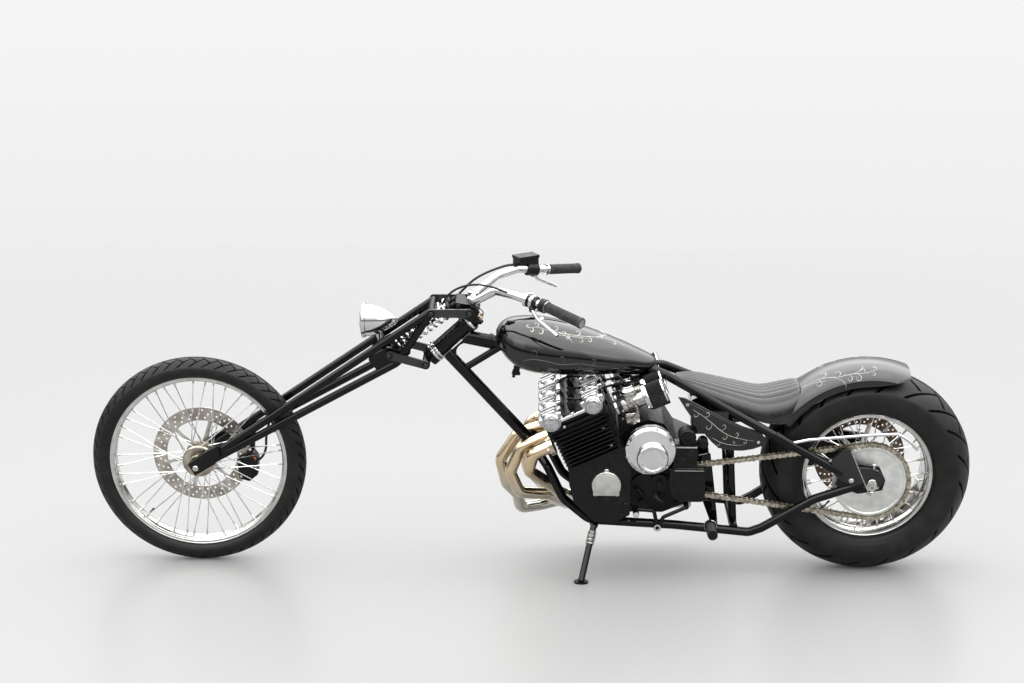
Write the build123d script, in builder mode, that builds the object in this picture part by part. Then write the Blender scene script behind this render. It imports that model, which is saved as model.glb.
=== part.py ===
"""A long-forked chopper motorcycle, parked on its side stand.

Every piece is drawn on the upright machine, in millimetres: X forward from the rear axle, Y to the
left, Z up from the ground. It is then leaned on to its side stand when it is written.
"""

from build123d import *
from math import asin, atan2, cos, degrees, pi, radians, sin, tan
import os

# Driving dimensions
lean = 8.55
wheelbase = 2103.0
rake = 47.0

front_tyre_radius = 338.5
front_tyre_half = 41.0
front_crown_radius = 40.0
front_tread_half = 33.0
front_flange_radius = 281.0
front_flange_half = 29.0
rear_tyre_radius = 330.5
rear_tyre_half = 100.0
rear_crown_radius = 115.0
rear_tread_half = 86.0
rear_flange_radius = 204.0
rear_flange_half = 73.0
rim_wall = 3.0
bead_gap = 0.5
rim_flange_height = 14.0
spoke_width = 4.5
spokes_a_side = 20
spoke_sweep = 38.0
spoke_bury = 3.0
hub_flange_wall = 6.0
axle_radius = 10.0
axle_bore_radius = 5.0
running_gap = 0.1
seat_gap = 0.3

frame_tube = 14.0
main_tube = 19.0
stay_sleeve_radius = 17.5
down_tube_radius = 18.0
head_tube_radius = 26.0
stem_radius = 14.0
bearing_height = 6.0
head_collar = 5.0
head_low = (1350.0, 0.0, 707.0)
head_length = 122.0
rail_width = 125.0
axle_plate_y = 150.0
axle_plate_wall = 12.0

leg_y = 66.0
leg_radius = 12.5
link_wall = 8.0
link_half_height = 13.0
link_gap = 0.5
girder_top = (1362.0, 852.0)
girder_bend = (1475.0, 680.0)
link_low_front = (1492.0, 716.0)
link_low_rear = (1379.0, 686.0)
link_high_rear = (1244.0, 853.0)
spring_y = 31.0
spring_radius = 21.0

crank = (820.0, 341.0)
cylinder_tilt = 25.0
block_low = 95.0
block_high = 185.0
head_high = 245.0
block_half_width = 195.0
block_half_depth = 86.0
fin_count = 8
fin_wall = 3.0
fin_depth = 14.0
cam_spread = 69.0
cam_height = 257.0
cam_radius = 27.0
cam_half_length = 214.0
case_half_width = 185.0
case_rim = 30.0
gearbox_left = 98.0
gearbox_right = 150.0

chain_y = 119.0
chain_pitch = 15.875
chain_plate_half = 7.5
chain_half_width = 11.0
chain_inner_half = 8.0
chain_inner_height = 6.0
link_plate_length = 27.0
rear_sprocket_teeth = 48
front_sprocket_teeth = 17
chain_links = 104
sprocket_half = 3.6
roller_radius = 5.1
sprocket_gap = 0.8

bar_radius = 12.7
lever_radius = 5.0
grip_radius = 17.0
stand_pivot = (854.0, 150.0, 192.0)
stand_foot_x = 894.0
stand_foot_y = 254.0
stand_foot_radius = 22.0
stand_foot_wall = 6.0
stand_pin_radius = 6.0
stand_eye_radius = 13.0
stand_eye_half = 8.0
stand_folded = (-0.985, 0.171, 0.0)

# Places worked out from them: each axle stands where the leaned tyre's crown just meets the floor
lean_rad = radians(lean)
front_axle_z = front_tyre_radius - front_crown_radius + front_crown_radius / cos(lean_rad)
rear_axle_z = rear_tyre_radius - rear_crown_radius + rear_crown_radius / cos(lean_rad)
front_axle = (wheelbase, 0.0, front_axle_z)
rear_axle = (0.0, 0.0, rear_axle_z)
steer_up = (-sin(radians(rake)), 0.0, cos(radians(rake)))
steer_out = (cos(radians(rake)), 0.0, sin(radians(rake)))
engine_plane = Plane(
    origin=(crank[0], 0, crank[1]),
    x_dir=(cos(radians(cylinder_tilt)), 0, -sin(radians(cylinder_tilt))),
    z_dir=(sin(radians(cylinder_tilt)), 0, cos(radians(cylinder_tilt))),
)
rear_pitch_radius = chain_pitch / (2 * sin(pi / rear_sprocket_teeth))
front_pitch_radius = chain_pitch / (2 * sin(pi / front_sprocket_teeth))
drive_centre = (
    (chain_links - (rear_sprocket_teeth + front_sprocket_teeth) / 2) * chain_pitch / 2
    - ((rear_sprocket_teeth - front_sprocket_teeth) / (2 * pi)) ** 2 * chain_pitch
    / (chain_links - (rear_sprocket_teeth + front_sprocket_teeth) / 2),
    rear_axle_z + 2.0,
)
stand_foot = (stand_foot_x, stand_foot_y, stand_foot_y * tan(lean_rad))
stand_leg = Vector(*stand_foot) - Vector(*stand_pivot)
stand_axis = stand_leg.cross(Vector(*stand_folded)).normalized()
stand_sweep = stand_leg.get_angle(Vector(*stand_folded))
drive_x, drive_z = drive_centre
front_hub_half = 46.0
rear_hub_half = 108.0
peg_end_y = 255.0
bar_end = (905.0, 305.0, 892.0)
row_origin_x = (wheelbase + front_tyre_radius - rear_tyre_radius) / 2
row_left = bar_end[1] * cos(lean_rad) + bar_end[2] * sin(lean_rad)
row_right = -peg_end_y * cos(lean_rad) + 201.0 * sin(lean_rad)
row_origin_y = (row_left + row_right) / 2
parked = Location((-row_origin_x, -row_origin_y, 0)) * Location((0, 0, 0), (-lean, 0, 0))

os.makedirs("parts", exist_ok=True)


def side(y):
    """The upright plane at y, drawn as (x, z); extruding goes towards the right of the machine."""
    return Plane(origin=(0, y, 0), x_dir=(1, 0, 0), z_dir=(0, -1, 0))


def on_steering(out, y, up):
    """The point that lies up the steering axis from the head tube's foot, and out in front of it."""
    return tuple(head_low[i] + steer_out[i] * out + steer_up[i] * up + (y if i == 1 else 0.0) for i in range(3))


def tube(points, radius, bends=60.0, mode=Mode.ADD):
    """A round bar along straight runs, joined by bends of the given radius or radii."""
    with BuildLine() as route:
        if len(points) == 2:
            Line(*points)
        else:
            FilletPolyline(*points, radius=bends)
    with BuildSketch(Plane(route.line @ 0, z_dir=route.line % 0)) as ring:
        Circle(radius)
    return sweep(ring.sketch, path=route.line, mode=mode)


def plate(outline, y_outer, wall, corner=0.0, mode=Mode.ADD):
    """A flat plate with rounded corners, drawn from the side and as thick as its wall."""
    with BuildSketch(side(y_outer)) as flat:
        with BuildLine():
            Polyline(*outline, close=True)
        make_face()
        if corner:
            fillet(flat.vertices(), corner)
    return extrude(flat.sketch, wall, mode=mode)


def bar_between(a, b, y_outer, wall, half, mode=Mode.ADD):
    """A flat bar with round ends, drawn from the side between two pivots."""
    with BuildSketch(side(y_outer)) as flat:
        with Locations(a, b):
            Circle(half)
        make_hull()
    return extrude(flat.sketch, wall, mode=mode)


def cross_bolt(place, half_length, radius, y_centre=0.0, mode=Mode.ADD):
    """A round bolt that lies across the machine."""
    with BuildSketch(side(y_centre + half_length)) as disc:
        with Locations(place):
            Circle(radius)
    return extrude(disc.sketch, 2 * half_length, mode=mode)


def write(piece, label):
    """Lean one finished piece on to the stand and write it to its own file."""
    placed = piece.part.moved(parked)
    placed.label = label
    export_step(placed, f"parts/{label}.step")


def mirrored():
    """Add the other side of the machine to the part being built."""
    mirror(about=Plane.XZ)


# Wheels: name, axle, tyre radius, half width, crown radius, tread half width, rim flange radius and
# half width, hub half length, hub barrel and hub flange radius, angles of the flats across the crown
wheels = [
    ("front", front_axle, front_tyre_radius, front_tyre_half, front_crown_radius, front_tread_half,
     front_flange_radius, front_flange_half, front_hub_half, 26.0, 50.0, [lean]),
    ("rear", rear_axle, rear_tyre_radius, rear_tyre_half, rear_crown_radius, rear_tread_half,
     rear_flange_radius, rear_flange_half, rear_hub_half, 34.0, 50.0, [lean, 29.0]),
]
for (name, axle, radius, half, crown, tread, flange, flange_half, hub_half, barrel, hub_flange,
     crown_flats) in wheels:
    section = Plane(origin=axle, x_dir=(0, 1, 0), z_dir=(1, 0, 0))
    spin = Axis(axle, (0, 1, 0))
    bead = flange - rim_flange_height
    bead_half = flange_half - rim_wall
    shoulder = radius - crown + (crown**2 - tread**2) ** 0.5
    belly = flange + 0.45 * (shoulder - flange)
    crown_turns = [radians(angle) for angle in crown_flats] + [asin(tread / crown)]
    tyre_side = [(crown * sin(turn), radius - crown + crown * cos(turn)) for turn in crown_turns] + [
        (half, belly), (flange_half, flange + bead_gap), (bead_half - bead_gap, flange + bead_gap),
        (bead_half - bead_gap, bead + bead_gap),
    ]
    with BuildPart() as tyre:
        with BuildSketch(section):
            with BuildLine():
                Polyline(*tyre_side, *[(-y, z) for y, z in reversed(tyre_side)], close=True)
            make_face()
        revolve(axis=spin)
    write(tyre, f"{name}_tyre")

    well = bead - 15
    well_half = 0.45 * bead_half
    rim_side = [(well_half, well), (flange_half, bead - rim_wall), (flange_half, flange),
                (bead_half, flange), (bead_half, bead)]
    hub_side = hub_half - 12 if hub_half - 12 < 0.72 * flange_half else 0.72 * flange_half
    hub_profile = [
        (hub_half, axle_radius + running_gap), (hub_half, barrel), (hub_side + hub_flange_wall / 2, barrel),
        (hub_side + hub_flange_wall / 2, hub_flange), (hub_side - hub_flange_wall / 2, hub_flange),
        (hub_side - hub_flange_wall / 2, barrel),
    ]
    with BuildPart() as wheel:
        for profile in (rim_side, hub_profile):
            with BuildSketch(section):
                with BuildLine():
                    Polyline(*profile, *[(-y, z) for y, z in reversed(profile)], close=True)
                make_face()
            revolve(axis=spin)
        for edge in (-1, 1):
            for number in range(spokes_a_side):
                lacing = 1 if number % 2 else -1
                turn = 2 * pi * (number + 0.25 * edge) / spokes_a_side
                twist = turn + lacing * radians(spoke_sweep)
                start = Vector(axle[0] + (hub_flange - 6) * cos(turn), edge * hub_side,
                               axle[2] + (hub_flange - 6) * sin(turn))
                end = Vector(axle[0] + (well + spoke_bury) * cos(twist), edge * 0.6 * well_half,
                             axle[2] + (well + spoke_bury) * sin(twist))
                with BuildSketch(Plane(start, z_dir=end - start)) as wire:
                    Rectangle(spoke_width, spoke_width)
                extrude(wire.sketch, (end - start).length)
    write(wheel, f"{name}_wheel")

# Brake discs: name, axle, centre plane, radius, inner radius, hub bolt radius
disc_wall = 4.0
disc_arm_count = 6
discs = [
    ("front_disc", front_axle, -front_hub_half, 150.0, 112.0, 24.0),
    ("rear_disc", rear_axle, -rear_hub_half, 145.0, 105.0, 34.0),
]
for name, axle, face_y, radius, inner, hub_radius in discs:
    with BuildPart() as disc:
        with BuildSketch(side(face_y)):
            with Locations((axle[0], axle[2])):
                Circle(radius)
                Circle(inner, mode=Mode.SUBTRACT)
                Circle(hub_radius + 12)
                with PolarLocations((inner + hub_radius) / 2, disc_arm_count):
                    Rectangle(inner - hub_radius + 8, 16)
                Circle(axle_radius + 2, mode=Mode.SUBTRACT)
        extrude(amount=disc_wall)
    write(disc, name)

# Rear sprocket, bolted to the left of the hub, and the chain that runs round it
with BuildPart() as rear_sprocket:
    with BuildSketch(side(chain_y + sprocket_half)):
        with Locations((rear_axle[0], rear_axle[2])):
            Circle(rear_pitch_radius - roller_radius - sprocket_gap)
            Circle(axle_radius + 2, mode=Mode.SUBTRACT)
    extrude(amount=2 * sprocket_half)
    with BuildSketch(side(chain_y - sprocket_half)):
        with Locations((rear_axle[0], rear_axle[2])):
            Circle(48)
            Circle(axle_radius + 2, mode=Mode.SUBTRACT)
    extrude(amount=chain_y - sprocket_half - rear_hub_half)
write(rear_sprocket, "rear_sprocket")

chain_span = (drive_x**2 + (drive_z - rear_axle_z) ** 2) ** 0.5
chain_dip = asin((rear_pitch_radius - front_pitch_radius) / chain_span)
chain_slope = atan2(drive_z - rear_axle_z, drive_x)
chain_straight = chain_span * cos(chain_dip)
# Each sprocket in turn: centre, pitch radius, wrap, direction of its first touching point
chain_wraps = [
    ((drive_x, drive_z), front_pitch_radius, pi - 2 * chain_dip, chain_slope + pi / 2 - chain_dip),
    ((rear_axle[0], rear_axle[2]), rear_pitch_radius, pi + 2 * chain_dip, chain_slope - pi / 2 + chain_dip),
]
chain_length = sum(chain_straight + radius * wrap for centre, radius, wrap, normal in chain_wraps)


def chain_place(run):
    """The place that lies this far along the chain's pitch line, and its heading in degrees."""
    for centre, radius, wrap, normal in chain_wraps:
        if run < chain_straight:
            back = chain_straight - run
            return Location((centre[0] + radius * cos(normal) - back * sin(normal),
                             centre[1] + radius * sin(normal) + back * cos(normal), 0),
                            (0, 0, degrees(normal) - 90))
        run -= chain_straight
        if run < wrap * radius:
            turn = normal - run / radius
            return Location((centre[0] + radius * cos(turn), centre[1] + radius * sin(turn), 0),
                            (0, 0, degrees(turn) - 90))
        run -= wrap * radius


def chain_loop(y_outer, wall, offset, mode=Mode.ADD):
    """A flat plate in the shape of the chain's pitch line, grown by the offset."""
    with BuildSketch(side(y_outer)) as flat:
        for centre, radius, wrap, normal in chain_wraps:
            with Locations(centre):
                Circle(radius + offset)
        make_hull()
    return extrude(flat.sketch, wall, mode=mode)


with BuildPart() as chain:
    chain_loop(chain_y + chain_inner_half, 2 * chain_inner_half, chain_inner_height)
    with BuildSketch(side(chain_y + chain_half_width)):
        for number in range(0, chain_links, 2):
            with Locations(chain_place((number + 0.5) * chain_length / chain_links)):
                Rectangle(link_plate_length, 2 * chain_plate_half)
    extrude(amount=2 * chain_half_width)
    chain_loop(chain_y + 2 * chain_half_width, 4 * chain_half_width, -roller_radius, Mode.SUBTRACT)
write(chain, "chain")

# Frame
head_high_point = on_steering(0, 0, head_length)
with BuildPart() as headstock:
    with BuildSketch(Plane(head_low, z_dir=steer_up)):
        Circle(head_tube_radius)
    extrude(amount=head_length)
    for foot in (on_steering(0, 0, -bearing_height), on_steering(0, 0, head_length)):
        with BuildSketch(Plane(foot, z_dir=steer_up)):
            Circle(head_tube_radius + head_collar)
        extrude(amount=bearing_height)
    with BuildSketch(Plane(on_steering(0, 0, -bearing_height), z_dir=steer_up)):
        Circle(stem_radius + running_gap)
    extrude(amount=head_length + 2 * bearing_height, mode=Mode.SUBTRACT)
write(headstock, "headstock")

with BuildPart() as head_core:
    with BuildSketch(Plane(on_steering(0, 0, -bearing_height), z_dir=steer_up)):
        Circle(head_tube_radius + head_collar)
    extrude(amount=head_length + 2 * bearing_height)

backbone_route = [(1290.0, 0, 762.0), (1120.0, 0, 729.0), (690.0, 0, 651.0)]
conduit_radius = 4.0
with BuildPart() as backbone:
    tube(backbone_route, main_tube, 200.0)
    tube([(1272.0, 0, 737.0), (1146.0, 0, 711.0)], conduit_radius)
    add(head_core.part, mode=Mode.SUBTRACT)
write(backbone, "backbone")

gusset_wall = 8.0
gusset_bite = 31.0
with BuildPart() as down_tube:
    tube([(1335.0, 0, 722.0), (1057.0, 0, 414.0)], down_tube_radius)
    tube([(1262.0, 0, 650.0), (1150.0, 0, 722.0)], 11.0)
    plate([(1262.0, 742.0), (1287.0, 684.0), (1340.0, 720.0), (1300.0, 768.0)], gusset_wall / 2, gusset_wall)
    cross_bolt((1257.0, 702.0), gusset_wall, gusset_bite, 0, Mode.SUBTRACT)
    add(head_core.part, mode=Mode.SUBTRACT)
    add(backbone.part, mode=Mode.SUBTRACT)
write(down_tube, "down_tube")

rail_route = [
    (1062.0, 8.0, 424.0), (1000.0, 100.0, 362.0), (952.0, 112.0, 262.0), (868.0, 119.0, 194.0),
    (600.0, rail_width, 182.0), (370.0, 130.0, 162.0), (332.0, 138.0, 180.0),
    (174.0, axle_plate_y, 283.0), (25.0, axle_plate_y, 336.0),
]
axle_plate_outline = [
    (112.0, 330.0), (92.0, 374.0), (46.0, 402.0), (-22.0, 392.0), (-42.0, 350.0), (-34.0, 316.0), (40.0, 304.0),
]
with BuildPart() as cradle:
    tube(rail_route, frame_tube, [40.0, 60.0, 60.0, 200.0, 30.0, 30.0, 100.0])
    plate(axle_plate_outline, axle_plate_y + axle_plate_wall / 2, axle_plate_wall, 6)
    cross_bolt((rear_axle[0], rear_axle[2]), axle_plate_wall, axle_radius + 0.05, axle_plate_y, Mode.SUBTRACT)
    mirrored()
    add(down_tube.part, mode=Mode.SUBTRACT)
    pivot_plane = Plane(stand_pivot, z_dir=stand_axis)
    with BuildSketch(pivot_plane.offset(-stand_eye_half - seat_gap)):
        Circle(stand_eye_radius - 3)
    extrude(amount=-16)
    with BuildSketch(pivot_plane.offset(-stand_eye_half - 1)):
        Circle(stand_pin_radius)
    extrude(amount=2 * stand_eye_half + 3)
write(cradle, "cradle")

stay_route = [(690.0, 18.0, 664.0), (640.0, 50.0, 652.0), (316.0, 144.0, 495.0), (92.0, axle_plate_y, 369.0)]
with BuildPart() as seat_stays:
    tube(stay_route, frame_tube, [60.0, 200.0])
    tube([(306.0, 144.3, 489.4), (246.0, 145.9, 455.6)], stay_sleeve_radius)
    mirrored()
    add(backbone.part, mode=Mode.SUBTRACT)
    add(cradle.part, mode=Mode.SUBTRACT)
write(seat_stays, "seat_stays")

# Tubes across the frame behind the engine: x, z, half length, radius
cross_tubes = [(417.0, 176.0, 128.0, 13.0), (473.0, 174.0, 128.0, 9.0), (432.0, 390.0, 84.0, 11.0)]
mount_plate_y = 62.0
mount_plate_wall = 8.0
with BuildPart() as rear_uprights:
    tube([(417.0, 84.0, 176.0), (436.0, 84.0, 450.0), (444.0, 104.0, 556.0)], 13.0, 60.0)
    plate([(462.0, 166.0), (484.0, 166.0), (520.0, 262.0), (532.0, 330.0), (532.0, 392.0), (492.0, 400.0),
           (478.0, 300.0)], mount_plate_y + mount_plate_wall, mount_plate_wall, 5)
    mirrored()
    for x, z, half, radius in cross_tubes:
        tube([(x, -half, z), (x, half, z)], radius)
    add(cradle.part, mode=Mode.SUBTRACT)
    add(seat_stays.part, mode=Mode.SUBTRACT)
write(rear_uprights, "rear_uprights")

with BuildPart() as rear_axle_bolt:
    cross_bolt((rear_axle[0], rear_axle[2]), 172, axle_radius)
    cross_bolt((rear_axle[0], rear_axle[2]), 4, 16, axle_plate_y + axle_plate_wall / 2 + 4)
    cross_bolt((rear_axle[0], rear_axle[2]), 4, 16, -axle_plate_y - axle_plate_wall / 2 - 4)
    for place in ((-12.0, 380.0), (-16.0, 328.0), (64.0, 350.0)):
        for turn in (-1, 1):
            cross_bolt(place, 3, 6, turn * (axle_plate_y + axle_plate_wall / 2 + 3))
    cross_bolt((rear_axle[0], rear_axle[2]), 180, axle_bore_radius, 0, Mode.SUBTRACT)
write(rear_axle_bolt, "rear_axle")

# Engine
case_outline = [
    (745.0, 238.0), (790.0, 213.0), (856.0, 213.0), (918.0, 275.0), (934.0, 335.0), (937.0, 391.0),
    (783.0, 463.0), (745.0, 440.0),
]
gearbox_outline = [
    (532.0, 300.0), (552.0, 250.0), (640.0, 213.0), (770.0, 213.0), (770.0, 470.0), (745.0, 500.0),
    (690.0, 520.0), (640.0, 505.0), (600.0, 440.0), (532.0, 410.0),
]
with BuildPart() as crankcase:
    plate(case_outline, case_half_width, 2 * case_half_width, 8)
    plate(gearbox_outline, gearbox_left, gearbox_left + gearbox_right, 12)
    for turn, length in ((1, case_rim), (-1, case_rim)):
        cross_bolt(crank, length / 2, 66, turn * (case_half_width - case_rim / 2))
    cross_bolt((687.0, 445.0), 26, 60, gearbox_left + 26)
    cross_bolt((drive_x, drive_z), 12, 14, gearbox_left + 12)
    cross_bolt((drive_x, drive_z), 3, front_pitch_radius - roller_radius - sprocket_gap, chain_y)
    cross_bolt((652.0, 316.0), 7, 28, gearbox_left + 7)
    cross_bolt((700.0, 300.0), 5, 42, gearbox_left + 5)
    add(cradle.part, mode=Mode.SUBTRACT)
    add(rear_uprights.part, mode=Mode.SUBTRACT)
write(crankcase, "crankcase")

cylinder_rows = [-160.0, -55.0, 55.0, 160.0]
row_half = 48.0
with BuildPart() as cylinder_block:
    with BuildSketch(engine_plane.offset(block_low)):
        Rectangle(2 * (block_half_depth - fin_depth), 2 * (block_half_width - fin_depth))
    extrude(amount=block_high - block_low)
    fin_pitch = (block_high - block_low - fin_wall) / (fin_count - 1)
    for number in range(fin_count):
        with BuildSketch(engine_plane.offset(block_low + number * fin_pitch)):
            with Locations(*[(0, row) for row in cylinder_rows]):
                Rectangle(2 * block_half_depth, 2 * row_half)
            Rectangle(2 * block_half_depth - fin_depth, 2 * (block_half_width - fin_depth / 2))
        extrude(amount=fin_wall)
    add(crankcase.part, mode=Mode.SUBTRACT)
write(cylinder_block, "cylinder_block")

port_height = 215.0
port_radius = 24.0
plug_radius = 9.0
plug_top = 272.0
with BuildPart() as cylinder_head:
    with BuildSketch(engine_plane.offset(block_high)):
        Rectangle(2 * (block_half_depth - fin_depth), 2 * (block_half_width - fin_depth))
    extrude(amount=head_high - block_high)
    for height in (block_high + 8, block_high + 22, block_high + 36, head_high - 8):
        with BuildSketch(engine_plane.offset(height)):
            Rectangle(2 * block_half_depth + 6, 2 * block_half_width)
        extrude(amount=fin_wall + (4 if height > port_height else 0))
    for row in cylinder_rows:
        for turn in (-1, 1):
            port_plane = Plane(engine_plane.from_local_coords((turn * 60.0, row, port_height)),
                               z_dir=engine_plane.x_dir * turn)
            with BuildSketch(port_plane):
                Circle(port_radius)
            extrude(amount=38)
        with BuildSketch(engine_plane.offset(head_high)):
            with Locations((0, row)):
                Circle(plug_radius)
        extrude(amount=plug_top - head_high)
write(cylinder_head, "cylinder_head")

cam_cap_radius = 22.0
cam_cap_length = 8.0
cam_band = 9.0
with BuildPart() as cam_covers:
    for turn in (-1, 1):
        with BuildSketch(engine_plane.offset(head_high)):
            with Locations((turn * cam_spread, 0)):
                Rectangle(2 * cam_radius, 2 * cam_half_length - 20)
        extrude(amount=cam_height - head_high)
        cam_axis = engine_plane.from_local_coords((turn * cam_spread, 0, cam_height))
        cam_place = (cam_axis.X, cam_axis.Z)
        cross_bolt(cam_place, cam_half_length, cam_radius)
        cross_bolt(cam_place, cam_half_length + cam_cap_length, cam_cap_radius)
        for edge in (-1, 1):
            cross_bolt(cam_place, cam_band / 2, cam_radius + 3, edge * (cam_half_length - 14))
    for edge in (-1, 1):
        with BuildSketch(engine_plane.offset(head_high)):
            with Locations((0, edge * (cam_half_length - 18))):
                Rectangle(2 * cam_spread, 10)
        extrude(amount=9)
    with BuildSketch(engine_plane.offset(head_high)):
        Rectangle(4 * cam_spread, 3 * cam_half_length)
    extrude(amount=-2 * cam_radius, mode=Mode.SUBTRACT)
    add(cylinder_head.part, mode=Mode.SUBTRACT)
write(cam_covers, "cam_covers")

# Round engine covers: centre, foot plane, outward side, profile as (radius, height) from the rim in
round_covers = [
    ((687.0, 445.0), gearbox_left + 52, 1,
     [(77, 0), (77, 9), (71, 15), (50, 15), (50, 56), (43, 63), (36, 63), (33, 60)]),
    ((690.0, 330.0), -gearbox_right, -1, [(80, 0), (80, 38), (70, 48), (30, 48), (28, 45)]),
    (crank, -case_half_width, -1, [(60, 0), (60, 24), (52, 30), (20, 30), (18, 27)]),
]
end_cover_radius = 45.0
end_cover_wall = 22.0
end_cover_flat = 33.0
with BuildPart() as engine_covers:
    for centre, foot, outward, profile in round_covers:
        with BuildSketch(Plane((centre[0], foot, centre[1]), x_dir=(1, 0, 0), z_dir=(0, 0, outward))):
            with BuildLine():
                Polyline((0, 0), *profile, (0, profile[-1][1]), close=True)
            make_face()
        revolve(axis=Axis((centre[0], foot, centre[1]), (0, 1, 0)))
    with BuildSketch(side(case_half_width + end_cover_wall)) as end_cover:
        with Locations(crank):
            Circle(end_cover_radius)
            for turn in (90, -42, -138):
                with Locations((end_cover_radius * cos(radians(turn)), end_cover_radius * sin(radians(turn)))):
                    Circle(7)
            with Locations((0, -end_cover_flat - 30)):
                Rectangle(120, 60, mode=Mode.SUBTRACT)
    extrude(amount=end_cover_wall)
    add(crankcase.part, mode=Mode.SUBTRACT)
write(engine_covers, "engine_covers")

cover_face = gearbox_left + 50.0
cover_skin = 4.0
with BuildPart() as sprocket_cover:
    plate([(512.0, 284.0), (524.0, 268.0), (592.0, 268.0), (614.0, 290.0), (624.0, 330.0), (622.0, 380.0),
           (612.0, 384.0), (612.0, 458.0), (540.0, 458.0), (540.0, 380.0), (512.0, 380.0)], cover_face, 50, 4)
    for x_low, x_high, z in ((536.0, 616.0, 452.0), (508.0, 626.0, 374.0)):
        plate([(x_low, z), (x_high, z), (x_high, z + 5), (x_low, z + 5)], cover_face + 5, 12)
    plate([(470.0, 273.0), (590.0, 273.0), (609.0, 294.0), (617.0, 330.0), (616.0, 372.0), (606.0, 384.0),
           (606.0, 450.0), (546.0, 450.0), (546.0, 373.0), (470.0, 373.0)], cover_face - cover_skin, 50, 0,
          Mode.SUBTRACT)
    chain_loop(cover_face - cover_skin, 50, chain_plate_half + 5, Mode.SUBTRACT)
    add(crankcase.part, mode=Mode.SUBTRACT)
    add(engine_covers.part, mode=Mode.SUBTRACT)
write(sprocket_cover, "sprocket_cover")

filter_foot = (705.0, 606.0)
filter_tip = (632.0, 638.0)
band_end = (696.0, 610.0)
filter_radius = 40.0
with BuildPart() as carburettors:
    for row in cylinder_rows:
        tube([(795.0, row, 566.0), (filter_foot[0], row, filter_foot[1])], 23.0)
        tube([(filter_foot[0], row, filter_foot[1]), (band_end[0], row, band_end[1])], filter_radius + 2)
        for start, heights in ((0.0, 52.0), (52.0, 9.0)):
            with BuildSketch(Plane((752.0, row, 588.0), z_dir=(0.2, 0, 1)).offset(start)):
                Circle(21.0 if start == 0 else 16.0)
            extrude(amount=heights)
        for start, size, depth in ((0.0, 44.0, 34.0), (34.0, 30.0, 7.0)):
            with BuildSketch(Plane((744.0, row, 560.0), z_dir=(-0.15, 0, -1)).offset(start)):
                Rectangle(size, size - 4)
            extrude(amount=depth)
    tube([(750.0, -160.0, 590.0), (750.0, 160.0, 590.0)], 9.0)
    add(cylinder_head.part, mode=Mode.SUBTRACT)
    add(cam_covers.part, mode=Mode.SUBTRACT)
    add(backbone.part, mode=Mode.SUBTRACT)
write(carburettors, "carburettors")

with BuildPart() as air_filters:
    for row in cylinder_rows:
        tube([(band_end[0], row, band_end[1]), (filter_tip[0], row, filter_tip[1])], filter_radius)
    add(carburettors.part, mode=Mode.SUBTRACT)
    add(seat_stays.part, mode=Mode.SUBTRACT)
    add(backbone.part, mode=Mode.SUBTRACT)
write(air_filters, "air_filters")

pipe_radius = 19.0
pipe_bend = 34.0
silencer_bore = 20.0
silencer_radius = 46.0
silencer_wall = 3.0
header_rows = [
    [(985.0, 160.0, 455.0), (1046.0, 160.0, 425.0), (1060.0, 150.0, 368.0), (1012.0, 88.0, 312.0),
     (960.0, 8.0, 240.0), (915.0, -100.0, 178.0), (895.0, -160.0, 156.0)],
    [(985.0, 55.0, 455.0), (1084.0, 55.0, 408.0), (1118.0, 53.0, 326.0), (1088.0, 42.0, 252.0),
     (1004.0, 0.0, 232.0), (950.0, -100.0, 165.0), (910.0, -165.0, 150.0)],
    [(985.0, -55.0, 455.0), (1096.0, -58.0, 412.0), (1150.0, -60.0, 326.0), (1130.0, -66.0, 240.0),
     (1094.0, -84.0, 196.0), (1086.0, -100.0, 142.0), (1024.0, -150.0, 132.0), (930.0, -176.0, 148.0)],
    [(985.0, -160.0, 455.0), (1052.0, -163.0, 420.0), (1080.0, -168.0, 350.0), (1062.0, -172.0, 250.0),
     (1000.0, -178.0, 180.0), (930.0, -178.0, 152.0)],
]
with BuildPart() as exhaust:
    for route in header_rows:
        tube(route, pipe_radius, pipe_bend)
        start = Vector(*route[0])
        along = (Vector(*route[1]) - start).normalized()
        tube([start - along * 2, start + along * 14], pipe_radius + 9)
    tube([(945.0, -158.0, 150.0), (880.0, -188.0, 151.0), (830.0, -194.0, 152.0)], 32.0, 60.0)
    tube([(838.0, -194.0, 152.0), (530.0, -198.0, 158.0)], silencer_radius)
    tube([(820.0, -194.23, 152.35), (548.0, -197.77, 157.65)], silencer_radius - silencer_wall,
         mode=Mode.SUBTRACT)
    tube([(556.0, -197.66, 157.49), (520.0, -198.13, 158.19)], silencer_bore, mode=Mode.SUBTRACT)
    add(cylinder_head.part, mode=Mode.SUBTRACT)
    add(cylinder_block.part, mode=Mode.SUBTRACT)
    add(cradle.part, mode=Mode.SUBTRACT)
    add(crankcase.part, mode=Mode.SUBTRACT)
write(exhaust, "exhaust")

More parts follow.
